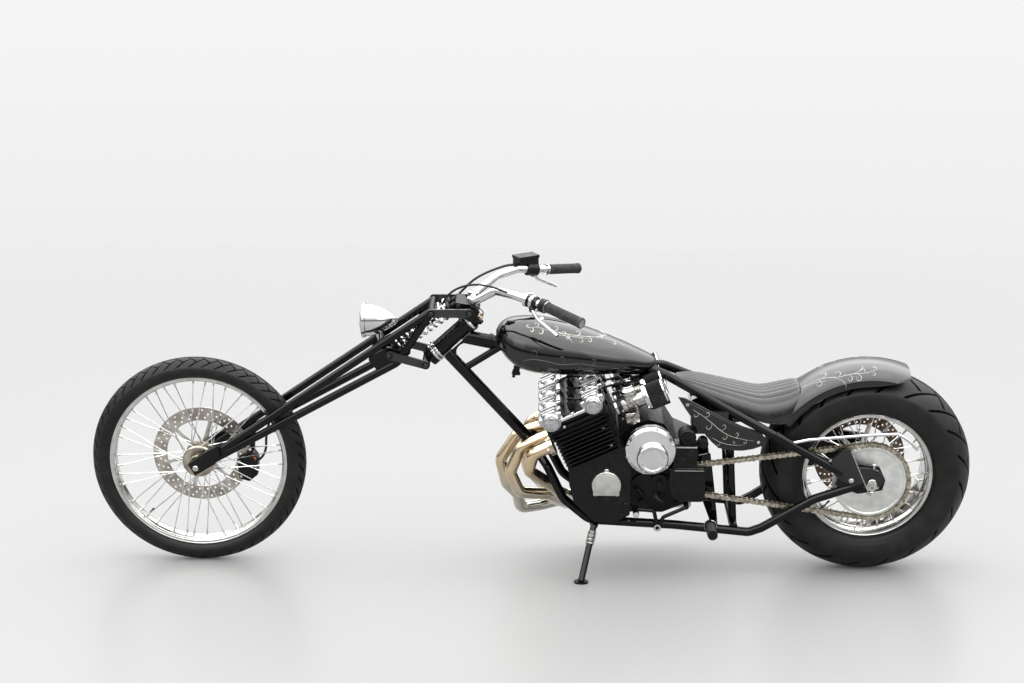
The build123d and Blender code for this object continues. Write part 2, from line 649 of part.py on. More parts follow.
# Fuel tank: x, underside, widest height, top, half width
tank_sections = [
    (1164.0, 750.0, 763.0, 776.0, 15.0),
    (1152.0, 727.0, 755.0, 796.0, 50.0),
    (1130.0, 704.0, 742.0, 811.0, 84.0),
    (1090.0, 680.0, 724.0, 818.0, 107.0),
    (1020.0, 667.0, 712.0, 816.0, 118.0),
    (900.0, 663.0, 704.0, 789.0, 109.0),
    (790.0, 661.0, 692.0, 746.0, 82.0),
    (710.0, 660.0, 678.0, 706.0, 43.0),
    (670.0, 660.0, 667.0, 674.0, 13.0),
]
with BuildPart() as fuel_tank:
    for x, low, wide, high, half in tank_sections:
        with BuildSketch(Plane(origin=(x, 0, 0), x_dir=(0, 1, 0), z_dir=(1, 0, 0))):
            with BuildLine():
                for turn in (-1, 1):
                    edge = turn * half
                    ThreePointArc((edge, wide), (0.72 * edge, wide + 0.72 * (high - wide)), (0, high))
                    ThreePointArc((0, low), (0.76 * edge, low + 0.24 * (wide - low)), (edge, wide))
            make_face()
    loft(ruled=True)
    plate([(1190.0, 560.0), (1190.0, 768.0), (1120.0, 754.0), (640.0, 668.0), (640.0, 560.0)], 24, 48, 0,
          Mode.SUBTRACT)
    add(seat_stays.part, mode=Mode.SUBTRACT)
write(fuel_tank, "fuel_tank")

# Seat: x, centre top, edge height, half width, thickness
seat_sections = [
    (600.0, 636.0, 628.0, 34.0, 16.0),
    (540.0, 634.0, 606.0, 78.0, 24.0),
    (420.0, 610.0, 556.0, 108.0, 30.0),
    (340.0, 594.0, 526.0, 116.0, 30.0),
    (270.0, 612.0, 520.0, 112.0, 30.0),
    (215.0, 618.0, 560.0, 84.0, 26.0),
]
with BuildPart() as seat:
    for x, high, edge, half, thick in seat_sections:
        with BuildSketch(Plane(origin=(x, 0, 0), x_dir=(0, 1, 0), z_dir=(1, 0, 0))):
            with BuildLine():
                ThreePointArc((-half, edge), (0, high), (half, edge))
                Line((half, edge), (half - 8, edge - 10))
                ThreePointArc((half - 8, edge - 10), (0, high - thick), (8 - half, edge - 10))
                Line((8 - half, edge - 10), (-half, edge))
            make_face()
    loft(ruled=True)
    add(seat_stays.part, mode=Mode.SUBTRACT)
    add(rear_uprights.part, mode=Mode.SUBTRACT)
write(seat, "seat")

fender_radius = 357.0
fender_wall = 3.0
fender_half = 106.0
fender_front = 56.0
fender_back = -22.0
with BuildPart() as rear_fender:
    fender_plane = Plane(
        origin=rear_axle, x_dir=(0, 1, 0),
        z_dir=(cos(radians(fender_front)), 0, -sin(radians(fender_front))),
    )
    fender_side = [(0.42 * fender_half, fender_radius - 4), (0.84 * fender_half, fender_radius - 18),
                   (fender_half, fender_radius - 35), (fender_half, fender_radius - 51)]
    fender_skirt = fender_radius - 40
    fender_inner = [(y - fender_wall, z - (fender_wall if z > fender_skirt else 0)) for y, z in fender_side]
    with BuildSketch(fender_plane):
        with BuildLine():
            Polyline(*fender_side, *fender_inner[::-1], *[(-y, z) for y, z in fender_inner],
                     *[(-y, z) for y, z in reversed(fender_side)], close=True)
        make_face()
    revolve(axis=Axis(rear_axle, (0, -1, 0)), revolution_arc=fender_front - fender_back)
    add(seat_stays.part, mode=Mode.SUBTRACT)
    add(seat.part, mode=Mode.SUBTRACT)
write(rear_fender, "rear_fender")

# Leaf-shaped side panel: start, middle and end of each arc round its edge
panel_arcs = [
    ((592.0, 592.0), (520.0, 566.0), (443.0, 515.0)),
    ((443.0, 515.0), (395.0, 497.0), (349.0, 492.0)),
    ((349.0, 492.0), (332.0, 474.0), (337.0, 456.0)),
    ((337.0, 456.0), (400.0, 438.0), (474.0, 443.0)),
    ((474.0, 443.0), (508.0, 478.0), (530.0, 515.0)),
]
with BuildPart() as side_panels:
    with BuildSketch(side(130)):
        with BuildLine():
            for start, middle, end in panel_arcs:
                ThreePointArc(start, middle, end)
            Line(panel_arcs[-1][2], panel_arcs[0][0])
        make_face()
    extrude(amount=5)
    mirrored()
    with BuildSketch(side(125)):
        with Locations((500.0, 520.0)):
            Rectangle(90, 60)
    extrude(amount=250)
    add(rear_uprights.part, mode=Mode.SUBTRACT)
    add(seat_stays.part, mode=Mode.SUBTRACT)
    add(seat.part, mode=Mode.SUBTRACT)
write(side_panels, "side_panels")

with BuildPart() as chain_guard:
    tube([(270.0, 150.0, 462.0), (200.0, 156.0, 480.0), (20.0, 156.0, 497.0), (-75.0, 150.0, 500.0)], 5.0, 40.0)
    add(seat_stays.part, mode=Mode.SUBTRACT)
write(chain_guard, "chain_guard")

caliper_y = -rear_hub_half - disc_wall / 2
with BuildPart() as rear_caliper:
    plate([(60.0, 400.0), (100.0, 372.0), (146.0, 360.0), (160.0, 400.0), (146.0, 438.0), (100.0, 450.0)],
          caliper_y + 18, 36, 6)
    cross_bolt((rear_axle[0], rear_axle[2]), disc_wall / 2 + 5, 160, caliper_y, Mode.SUBTRACT)
    plate([(-20.0, 315.0), (20.0, 312.0), (150.0, 372.0), (140.0, 400.0)], caliper_y - 15, 7, 6)
    cross_bolt((rear_axle[0], rear_axle[2]), 40, axle_radius + 0.1, caliper_y - 20, Mode.SUBTRACT)
write(rear_caliper, "rear_caliper")

pedal_pivot = (657.0, 182.0)
pedal_y = 145.5
with BuildPart() as foot_controls:
    tube([(493.0, 137.0, 190.0), (493.0, peg_end_y, 201.0)], 14.0)
    tube([(493.0, 150.0, 191.2), (493.0, 162.0, 192.4)], 19.0)
    cross_bolt(pedal_pivot, 7, 12, pedal_y)
    for knee, tip in (((638.0, pedal_y, 216.0), (568.0, pedal_y, 249.0)),
                      ((668.0, pedal_y, 236.0), (727.0, 160.0, 247.0))):
        tube([(pedal_pivot[0], pedal_y, pedal_pivot[1]), knee, tip], 6.0, 14.0)
    tube([(727.0, 152.0, 247.0), (727.0, 214.0, 249.0)], 9.0)
    mirrored()
    cross_bolt((568.0, 249.0), (pedal_y - gearbox_left) / 2, 8, (pedal_y + gearbox_left) / 2)
    for piece in (cradle, crankcase, sprocket_cover, exhaust):
        add(piece.part, mode=Mode.SUBTRACT)
write(foot_controls, "foot_controls")

# Steering: all of it turns about the head tube
with BuildPart() as steering_trees:
    with BuildSketch(Plane(on_steering(0, 0, -bearing_height - seat_gap), z_dir=steer_up)):
        Circle(head_tube_radius + 6)
    extrude(amount=-24)
    with BuildSketch(Plane(on_steering(0, 0, head_length + bearing_height + seat_gap), z_dir=steer_up)):
        Circle(head_tube_radius + 6)
    extrude(amount=20)
    with BuildSketch(Plane(on_steering(0, 0, -20), z_dir=steer_up)):
        Circle(stem_radius)
    extrude(amount=head_length + 64)
    tree_half = leg_y + leg_radius + link_gap
    cross_bolt(link_low_rear, tree_half, 13)
    cross_bolt(link_high_rear, tree_half, 13)
    plate([(1214.0, 842.0), (1226.0, 868.0), (1288.0, 878.0), (1298.0, 862.0), (1262.0, 845.0),
           (1262.0, 826.0), (1240.0, 815.0)], 52, 104, 4)
    cross_bolt(link_low_rear, tree_half + link_wall + 4, 6)
    cross_bolt(link_high_rear, tree_half + link_wall + 4, 6)
write(steering_trees, "steering_trees")

front_eye = (front_axle[0], front_axle[2])
with BuildPart() as girder_legs:
    tube([(girder_top[0], leg_y, girder_top[1]), (front_eye[0] - 28, leg_y, front_eye[1] + 19)], leg_radius)
    tube([(girder_top[0], leg_y, girder_top[1]), (girder_bend[0] - 8, leg_y, girder_bend[1] + 8),
          (front_eye[0] - 28, leg_y, front_eye[1] + 8)], leg_radius, 50.0)
    plate([(girder_bend[0] - 60, 728.0), (1500.0, 738.0), (1560.0, 700.0), (1530.0, 662.0), (1475.0, 678.0)],
          leg_y + 5, 10, 8)
    bar_between((front_eye[0] - 70, front_eye[1] + 42), front_eye, leg_y + 6, 12, 19)
    mirrored()
    cross_bolt(girder_top, leg_y, 11)
    cross_bolt(link_low_front, leg_y, 9)
    cross_bolt((1523.0, 741.0), leg_y, 8)
    cross_bolt(front_eye, leg_y + 30, axle_radius + 0.05, 0, Mode.SUBTRACT)
    for place in (girder_top, link_low_front):
        cross_bolt(place, tree_half + link_wall + 4, 6)
write(girder_legs, "girder_legs")

with BuildPart() as fork_links:
    for ends in ((link_low_front, link_low_rear), (girder_top, link_high_rear)):
        bar_between(*ends, tree_half + link_wall, link_wall - seat_gap, link_half_height)
    for place in (link_low_front, link_low_rear, girder_top, link_high_rear):
        cross_bolt(place, 20, 6.05, tree_half, Mode.SUBTRACT)
    mirrored()
    add(girder_legs.part, mode=Mode.SUBTRACT)
write(fork_links, "fork_links")

spring_low = (1486.0, spring_y, 720.0)
spring_high = (1288.0, spring_y, 866.0)
coil_count = 8
coil_height = 11.0
spring_neck = 12.0
with BuildPart() as fork_springs:
    tube([spring_low, spring_high], spring_neck)
    spring_plane = Plane(spring_low, z_dir=Vector(*spring_high) - Vector(*spring_low))
    spring_length = (Vector(*spring_high) - Vector(*spring_low)).length
    coil_pitch = (spring_length - 60) / coil_count
    coil_profile = [(spring_neck - 1, 28)]
    for number in range(coil_count):
        foot = 30 + number * coil_pitch
        coil_profile += [(spring_neck, foot), (spring_radius, foot + coil_height / 2),
                         (spring_neck, foot + coil_height)]
    coil_profile += [(spring_neck - 1, spring_length - 28)]
    with BuildSketch(Plane(spring_low, x_dir=(0, 1, 0), z_dir=spring_plane.z_dir.cross(Vector(0, 1, 0)) * -1)):
        with BuildLine():
            Polyline(*coil_profile, close=True)
        make_face()
    revolve(axis=Axis(spring_low, spring_plane.z_dir))
    for start in (18.0, spring_length - 26):
        with BuildSketch(spring_plane.offset(start)):
            Circle(spring_radius + 2)
        extrude(amount=8)
    mirrored()
    add(girder_legs.part, mode=Mode.SUBTRACT)
    add(steering_trees.part, mode=Mode.SUBTRACT)
write(fork_springs, "fork_springs")

with BuildPart() as front_axle_bolt:
    cross_bolt(front_eye, leg_y + 22, axle_radius)
    for turn in (-1, 1):
        cross_bolt(front_eye, 4, 15, turn * (leg_y + 10.5))
    cross_bolt(front_eye, leg_y + 40, axle_bore_radius, 0, Mode.SUBTRACT)
write(front_axle_bolt, "front_axle")

bar_route = [(1012.0, 207.0, 914.0), (1100.0, 152.0, 930.0), (1165.0, 84.0, 926.0), (1236.0, 46.0, 876.0)]
bar_route = [bar_end] + bar_route + [(x, -y, z) for x, y, z in reversed(bar_route)] + [
    (bar_end[0], -bar_end[1], bar_end[2])]
with BuildPart() as handlebar:
    tube(bar_route, bar_radius, [90.0, 60.0, 50.0, 24.0, 24.0, 50.0, 60.0, 90.0])
    for turn in (-1, 1):
        tube([(1240.0, turn * 34.0, 850.0), (1236.0, turn * 34.0, 884.0)], 16.0)
    add(steering_trees.part, mode=Mode.SUBTRACT)
    for turn in (-1, 1):
        tube([(1054.0, turn * 200.0, 902.0), (1036.0, turn * 222.0, 878.0), (978.0, turn * 268.0, 842.0)],
             lever_radius, 16.0)
write(handlebar, "handlebar")

with BuildPart() as grips:
    tube([(1008.0, 210.7, 913.2), bar_end], grip_radius)
    mirrored()
    add(handlebar.part, mode=Mode.SUBTRACT)
write(grips, "grips")

with BuildPart() as bar_controls:
    for turn in (-1, 1):
        tube([(1072.0, turn * 169.5, 925.0), (1040.0, turn * 189.5, 919.0)], 20.0)
        tube([(1056.0, turn * 182.0, 918.0), (1053.0, turn * 203.0, 899.0)], 9.0)
    for height, deep, wall in ((934.0, 42.0, 24.0), (958.0, 46.0, 9.0)):
        with BuildSketch(Plane((1075.0, -188.0, height), x_dir=(0.85, 0.53, 0), z_dir=(0, 0, 1))):
            Rectangle(70 if height == 934.0 else 74, deep)
        extrude(amount=wall)
    tube([(1026.0, 198.0, 916.5), (1012.0, 208.0, 914.0)], 21.0)
    add(handlebar.part, mode=Mode.SUBTRACT)
    add(grips.part, mode=Mode.SUBTRACT)
write(bar_controls, "bar_controls")

lamp_front = (1580.0, 0.0, 804.0)
lamp_radius = 51.0
lamp_length = 111.0
lamp_rim = 4.0
lamp_plane = Plane(origin=lamp_front, x_dir=(1, 0, 0), z_dir=(0, -1, 0))
shell_profile = [
    (0, 0), (0, lamp_radius + lamp_rim), (-12, lamp_radius + lamp_rim), (-12, lamp_radius), (-40, 47),
    (-66, 38), (-88, 25), (-103, 12), (-lamp_length, 0),
]
with BuildPart() as headlight_shell:
    with BuildSketch(lamp_plane):
        with BuildLine():
            Polyline(*shell_profile, close=True)
        make_face()
    revolve(axis=Axis(lamp_front, (1, 0, 0)))
    tube([(1523.0, 0, 744.0), (1530.0, 0, 770.0)], 10.0)
    add(girder_legs.part, mode=Mode.SUBTRACT)
write(headlight_shell, "headlight_shell")

with BuildPart() as headlight_lens:
    with BuildSketch(lamp_plane):
        with BuildLine():
            Polyline((0, 0), (0, lamp_radius - lamp_rim), (5, 38), (8, 22), (9, 0), close=True)
        make_face()
    revolve(axis=Axis(lamp_front, (1, 0, 0)))
write(headlight_lens, "headlight_lens")

front_disc_mid = -front_hub_half - disc_wall / 2
with BuildPart() as front_caliper:
    plate([(1938.0, 352.0), (1990.0, 326.0), (1984.0, 262.0), (1952.0, 252.0), (1924.0, 276.0),
           (1922.0, 330.0)], front_disc_mid + 20, 40, 6)
    for place in ((1948.0, 322.0), (1952.0, 284.0)):
        cross_bolt(place, 25, 15, front_disc_mid)
    cross_bolt(front_eye, disc_wall / 2 + 5, 160, front_disc_mid, Mode.SUBTRACT)
    plate([(1930.0, 430.0), (1990.0, 392.0), (1968.0, 300.0), (1940.0, 310.0)], -leg_y + 4, 8, 6)
    add(girder_legs.part, mode=Mode.SUBTRACT)
write(front_caliper, "front_caliper")


def cord(points, radius):
    """A hose or cable along points chosen by hand, each bend as large as its two runs allow."""
    knots = [Vector(*point) for point in points]
    bends = []
    for before, here, after in zip(knots, knots[1:], knots[2:]):
        half_turn = radians((here - before).get_angle(after - here)) / 2
        shorter = min((here - before).length, (after - here).length)
        bends.append(0.45 * shorter / tan(half_turn))
    print("cord radii:", [round(bend) for bend in bends])
    return tube(points, radius, bends)


hose_route = [
    (1092.0, -178.0, 937.0), (1124.0, -164.0, 942.0), (1164.0, -142.0, 935.0), (1206.0, -124.0, 922.0),
    (1242.0, -110.0, 903.0), (1270.0, -102.0, 876.0), (1296.0, -100.0, 848.0), (1336.0, -99.0, 830.0),
    (1390.0, -96.0, 818.0), (1450.0, -92.0, 783.0), (1530.0, -90.0, 728.0), (1660.0, -90.0, 637.0),
    (1790.0, -90.0, 547.0), (1858.0, -90.0, 497.0), (1890.0, -88.0, 441.0), (1902.0, -79.0, 386.0),
    (1900.0, -66.0, 350.0), (1912.0, -52.0, 324.0), (1932.0, -47.0, 312.0),
]
with BuildPart() as brake_hose:
    cord(hose_route, 4.0)
    for piece in (bar_controls, front_caliper):
        add(piece.part, mode=Mode.SUBTRACT)
write(brake_hose, "brake_hose")

cable_route = [
    (1084.0, 162.0, 926.0), (1128.0, 134.0, 944.0), (1180.0, 104.0, 956.0), (1236.0, 76.0, 954.0),
    (1288.0, 52.0, 932.0), (1322.0, 34.0, 896.0), (1330.0, 22.0, 862.0),
]
with BuildPart() as clutch_cable:
    cord(cable_route, 3.5)
    for piece in (bar_controls, handlebar, steering_trees, fork_springs):
        add(piece.part, mode=Mode.SUBTRACT)
write(clutch_cable, "clutch_cable")

# Side stand: its foot lies flat on the floor when the machine leans on it
floor_up = (0, -sin(lean_rad), cos(lean_rad))
with BuildPart() as side_stand:
    with BuildSketch(Plane(stand_foot, z_dir=floor_up)):
        Circle(stand_foot_radius)
    extrude(amount=stand_foot_wall)
    leg_top = Vector(*stand_pivot) + stand_leg.normalized() * (stand_eye_radius - 2)
    tube([leg_top, Vector(*stand_foot) + Vector(*floor_up) * (stand_foot_wall - 1)], 10.0)
    with BuildSketch(pivot_plane.offset(-stand_eye_half)):
        Circle(stand_eye_radius)
    extrude(amount=2 * stand_eye_half)
    with BuildSketch(Plane(stand_pivot, z_dir=stand_axis).offset(-2 * stand_eye_half)):
        Circle(stand_pin_radius + running_gap)
    extrude(amount=4 * stand_eye_half, mode=Mode.SUBTRACT)
    with BuildSketch(Plane(stand_foot, z_dir=floor_up)):
        Circle(4 * stand_foot_radius)
    extrude(amount=-stand_foot_wall * 4, mode=Mode.SUBTRACT)
write(side_stand, "side_stand")
print("stand folds by", round(stand_sweep, 1), "degrees")
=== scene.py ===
"""The looks of a long-forked chopper motorcycle, parked on its side stand.

Every size is in millimetres on the upright machine: X forward from the rear axle, Y to the left, Z up
from the ground. A finished piece is leaned on to the stand and scaled to metres in one step.
"""

import logging
import math
from dataclasses import dataclass, field
from enum import Enum
from typing import Callable, Iterable, Optional, Sequence, Union

import bmesh
import bpy
from bmesh.types import BMEdge, BMesh, BMVert
from mathutils import Matrix, Vector
from mathutils.bvhtree import BVHTree


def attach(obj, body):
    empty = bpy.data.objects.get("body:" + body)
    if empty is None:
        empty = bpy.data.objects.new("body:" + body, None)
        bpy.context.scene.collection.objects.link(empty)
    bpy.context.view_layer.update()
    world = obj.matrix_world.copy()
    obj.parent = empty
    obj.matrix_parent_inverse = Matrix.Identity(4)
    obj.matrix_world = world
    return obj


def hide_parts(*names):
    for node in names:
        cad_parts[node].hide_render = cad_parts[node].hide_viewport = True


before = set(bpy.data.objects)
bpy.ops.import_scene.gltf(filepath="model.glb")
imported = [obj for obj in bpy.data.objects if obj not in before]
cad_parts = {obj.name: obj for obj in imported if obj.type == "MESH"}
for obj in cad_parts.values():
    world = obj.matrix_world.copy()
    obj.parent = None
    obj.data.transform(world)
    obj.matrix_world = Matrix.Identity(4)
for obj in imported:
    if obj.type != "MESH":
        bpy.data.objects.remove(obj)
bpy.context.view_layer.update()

log = logging.getLogger("chopper")

Point = Sequence[float]
Profile = Sequence[tuple[float, float]]

LEAN = math.radians(8.55)
CYLINDER_ROWS = (-160, -55, 55, 160)
REAR_AXLE = Vector((0, 0, 331.792))
FRONT_AXLE = Vector((2103, 0, 338.949))
ROW_ORIGIN = Vector((1055.5, 25.0 * math.cos(LEAN) + 546.5 * math.sin(LEAN), 0.0))
PARKED = (
    Matrix.Scale(0.001, 4) @ Matrix.Translation(-ROW_ORIGIN) @ Matrix.Rotation(-LEAN, 4, "X")
)
ACROSS = Vector((0, 1, 0))
FORWARD = Vector((1, 0, 0))
UP = Vector((0, 0, 1))


class Body(Enum):
    """The moving bodies of the machine."""

    CHASSIS = "chassis"
    STEERING = "steering"
    FRONT_WHEEL = "front_wheel"
    REAR_WHEEL = "rear_wheel"
    STAND = "side_stand"


class Slot(Enum):
    """The record's material slots."""

    PAINT = "gloss_black_paint"
    FRAME = "frame_black"
    ENGINE = "engine_black"
    LINK = "link_grey"
    CHROME = "chrome"
    ALLOY = "alloy"
    RIM = "rim_steel"
    DISC = "disc_steel"
    CHAIN = "chain_steel"
    HEADER = "header_steel"
    TYRE = "tyre_rubber"
    GRIP = "grip_rubber"
    HOSE = "hose_rubber"
    SEAT = "seat_leather"
    FILTER = "filter_black"
    GLASS = "lamp_glass"


def seated(point: Point) -> Vector:
    """Return a point of the upright machine where it is on the parked one, in metres."""
    return PARKED @ Vector(point)


class Value:
    """One socket of a shader tree, which Python's operators extend with Math nodes."""

    def __init__(self, recipe: "Recipe", socket: bpy.types.NodeSocket) -> None:
        """Wrap a socket of the recipe's tree."""
        self.recipe = recipe
        self.socket = socket

    def math(self, operation: str, *others: Union["Value", float], clamp: bool = False) -> "Value":
        """Return this value put through one Math node.

        Args:
            operation: The Math node's operation.
            others: The values of its other inputs.
            clamp: Whether the result is held between 0 and 1.

        Returns:
            The node's result.
        """
        settings = {"operation": operation, "use_clamp": clamp}
        return self.recipe.node("ShaderNodeMath", settings, dict(enumerate((self, *others))))

    def flipped(self, operation: str, other: Union["Value", float]) -> "Value":
        """Return a Math node's result with the other value as its first input."""
        return self.recipe.node("ShaderNodeMath", {"operation": operation}, {0: other, 1: self})

    def __add__(self, other: Union["Value", float]) -> "Value":
        """Return the sum."""
        return self.math("ADD", other)

    __radd__ = __add__

    def __sub__(self, other: Union["Value", float]) -> "Value":
        """Return the difference."""
        return self.math("SUBTRACT", other)

    def __rsub__(self, other: Union["Value", float]) -> "Value":
        """Return the other value less this one."""
        return self.flipped("SUBTRACT", other)

    def __mul__(self, other: Union["Value", float]) -> "Value":
        """Return the product."""
        return self.math("MULTIPLY", other)

    __rmul__ = __mul__

    def __truediv__(self, other: Union["Value", float]) -> "Value":
        """Return the quotient."""
        return self.math("DIVIDE", other)

    def __rtruediv__(self, other: Union["Value", float]) -> "Value":
        """Return the other value divided by this one."""
        return self.flipped("DIVIDE", other)

    def __pow__(self, other: Union["Value", float]) -> "Value":
        """Return the power."""
        return self.math("POWER", other)

    def __gt__(self, other: Union["Value", float]) -> "Value":
        """Return 1 where this value is the greater, and 0 elsewhere."""
        return self.math("GREATER_THAN", other)

    def __lt__(self, other: Union["Value", float]) -> "Value":
        """Return 1 where this value is the smaller, and 0 elsewhere."""
        return self.math("LESS_THAN", other)

    def sin(self) -> "Value":
        """Return the sine."""
        return self.math("SINE")

    def fract(self) -> "Value":
        """Return the part after the point."""
        return self.math("FRACT")

    def size(self) -> "Value":
        """Return the absolute value."""
        return self.math("ABSOLUTE")

    def ramp(self, low: float, high: float, start: float = 0.0, end: float = 1.0) -> "Value":
        """Return a smooth ramp from start at low to end at high."""
        settings = {"interpolation_type": "SMOOTHSTEP", "clamp": True}
        return self.recipe.node("ShaderNodeMapRange", settings, {0: self, 1: low, 2: high, 3: start, 4: end})


class Recipe:
    """The shader tree of one material, written as expressions."""

    def __init__(self, name: str) -> None:
        """Start an empty material of that name."""
        self.material = bpy.data.materials.new(name)
        self.material.use_nodes = True
        self.tree = self.material.node_tree
        self.tree.nodes.clear()

    def node(self, kind: str, settings: dict, sockets: dict, output: Union[int, str] = 0) -> Value:
        """Add one node.

        Args:
            kind: The node's type.
            settings: Its own properties, which are set first.
            sockets: The value or the link of each input, by index or name.
            output: The output to return.

        Returns:
            That output.
        """
        made = self.tree.nodes.new(kind)
        for key, setting in settings.items():
            setattr(made, key, setting)
        for key, given in sockets.items():
            if isinstance(given, Value):
                self.tree.links.new(given.socket, made.inputs[key])
            else:
                made.inputs[key].default_value = given
        return Value(self, made.outputs[output])

    def place(self, centre: Point = (0, 0, 0), turn: float = 0.0) -> Value:
        """Return the point in millimetres on the upright machine, measured from a centre.

        Args:
            centre: The centre on the upright machine.
            turn: The turn about the axis across the machine, in radians.

        Returns:
            The point as a vector.
        """
        where = self.node("ShaderNodeTexCoord", {}, {}, "Object")
        settings = {"vector_type": "TEXTURE"}
        sockets = {
            "Vector": where,
            "Location": tuple(seated(centre)),
            "Rotation": (Matrix.Rotation(-LEAN, 3, "X") @ Matrix.Rotation(turn, 3, "Y")).to_euler()[:],
            "Scale": (0.001, 0.001, 0.001),
        }
        return self.node("ShaderNodeMapping", settings, sockets)

    def split(self, vector: Value) -> tuple[Value, Value, Value]:
        """Return the three parts of a vector."""
        parted = self.node("ShaderNodeSeparateXYZ", {}, {0: vector})
        outputs = parted.socket.node.outputs
        return tuple(Value(self, outputs[index]) for index in range(3))

    def noise(self, vector: Value, size: float, detail: float = 3.0, rough: float = 0.5) -> Value:
        """Return a noise whose patches are about size millimetres across."""
        sockets = {"Vector": vector, "Scale": 1.0 / size, "Detail": detail, "Roughness": rough}
        return self.node("ShaderNodeTexNoise", {}, sockets)

    def cells(self, vector: Value, size: float) -> Value:
        """Return the distance to the nearest cell centre, for cells of that size."""
        return self.node("ShaderNodeTexVoronoi", {}, {"Vector": vector, "Scale": 1.0 / size})

    def mix(self, mask: Value, low: Union[Value, Point], high: Union[Value, Point]) -> Value:
        """Return a colour that goes from low to high with the mask."""
        settings = {"data_type": "RGBA"}
        colours = [c if isinstance(c, Value) else (*c, 1.0) for c in (low, high)]
        return self.node("ShaderNodeMix", settings, {0: mask, 6: colours[0], 7: colours[1]}, 2)

    def bump(self, height: Value, distance: float, strength: float = 1.0) -> Value:
        """Return a normal from a height of 0 to 1 that stands for that distance in metres."""
        return self.node(
            "ShaderNodeBump", {}, {"Height": height, "Distance": distance, "Strength": strength},
        )

    def surface(self, **sockets: Union[Value, float, Point]) -> bpy.types.Material:
        """Close the tree with a Principled surface.

        Args:
            sockets: Its inputs, with underscores for spaces.

        Returns:
            The finished material.
        """
        named = {
            key.replace("_", " "): (*given, 1.0) if isinstance(given, tuple) else given
            for key, given in sockets.items()
        }
        shader = self.node("ShaderNodeBsdfPrincipled", {}, named)
        output = self.tree.nodes.new("ShaderNodeOutputMaterial")
        self.tree.links.new(shader.socket, output.inputs[0])
        return self.material


class Finish:
    """A finish that is made into a Blender material once, however many pieces wear it."""

    made: dict[str, bpy.types.Material] = {}

    def mix(self, recipe: Recipe) -> bpy.types.Material:
        """Write the finish into an empty recipe and return its material."""
        raise NotImplementedError

    def material(self) -> bpy.types.Material:
        """Return the finish's material, mixed the first time that it is asked for."""
        if self.name not in Finish.made:
            Finish.made[self.name] = self.mix(Recipe(self.name))
        return Finish.made[self.name]


@dataclass(frozen=True)
class Coating(Finish):
    """Paint, plating or bare metal with smudges, a fine grain and a slow change of tone.

    Sizes are in millimetres, apart from grain_depth, which is in metres as a Bump node takes it.
    """

    name: str
    colour: tuple[float, float, float]
    tone: tuple[float, float, float]
    metallic: float = 0.0
    smooth: float = 0.2
    rough: float = 0.35
    smudge: float = 60.0
    grain: float = 1.2
    grain_depth: float = 0.00005
    coat: float = 0.0
    gleam: float = 0.5

    def mix(self, recipe: Recipe) -> bpy.types.Material:
        """Write the coating into an empty recipe."""
        where = recipe.place()
        patches = recipe.noise(where, self.smudge).ramp(0.3, 0.72)
        fine = recipe.noise(where, self.grain, 2.0)
        return recipe.surface(
            Base_Color=recipe.mix(patches, self.colour, self.tone),
            Metallic=self.metallic,
            Roughness=patches * (self.rough - self.smooth) + self.smooth + (fine - 0.5) * 0.04,
            Specular_IOR_Level=self.gleam,
            Coat_Weight=self.coat,
            Coat_Roughness=0.04,
            Normal=recipe.bump(fine, self.grain_depth, 0.6),
        )


@dataclass(frozen=True)
class WrinklePaint(Finish):
    """Engine paint with a baked wrinkle, greyer in patches where it has dusted over."""

    name: str = "wrinkle_engine_black"
    colour: tuple[float, float, float] = (0.0045, 0.0045, 0.005)
    dust: tuple[float, float, float] = (0.015, 0.015, 0.014)

    def mix(self, recipe: Recipe) -> bpy.types.Material:
        """Write the paint into an empty recipe."""
        where = recipe.place()
        cast = recipe.cells(where, 2.4)
        dusty = recipe.noise(where, 45.0, 5.0, 0.65).ramp(0.48, 0.8)
        return recipe.surface(
            Base_Color=recipe.mix(dusty, self.colour, self.dust),
            Roughness=recipe.noise(where, 12.0).ramp(0.2, 0.8, 0.34, 0.55),
            Specular_IOR_Level=0.2,
            Normal=recipe.bump(cast, 0.0003, 0.55),
        )


@dataclass(frozen=True)
class HeaderSteel(Finish):
    """Bare header pipe, straw gold near the ports and silver where it has stayed cool."""

    name: str = "header_steel"
    hot: tuple[float, float, float] = (0.62, 0.49, 0.32)
    cool: tuple[float, float, float] = (0.56, 0.55, 0.51)
    blue: tuple[float, float, float] = (0.42, 0.34, 0.30)

    def mix(self, recipe: Recipe) -> bpy.types.Material:
        """Write the steel into an empty recipe."""
        where = recipe.place((1040, 0, 300))
        _, _, height = recipe.split(where)
        cloud = recipe.noise(where, 90.0)
        warmth = (height + cloud * 90.0).ramp(-140, 130)
        scorch = recipe.noise(where, 30.0, 4.0).ramp(0.56, 0.75, 0, 0.45)
        colour = recipe.mix(warmth, self.cool, self.hot)
        return recipe.surface(
            Base_Color=recipe.mix(scorch * warmth, colour, self.blue),
            Metallic=1.0,
            Roughness=recipe.noise(where, 25.0).ramp(0.3, 0.7, 0.12, 0.26),
            Normal=recipe.bump(recipe.noise(where, 0.8), 0.00004, 0.4),
        )


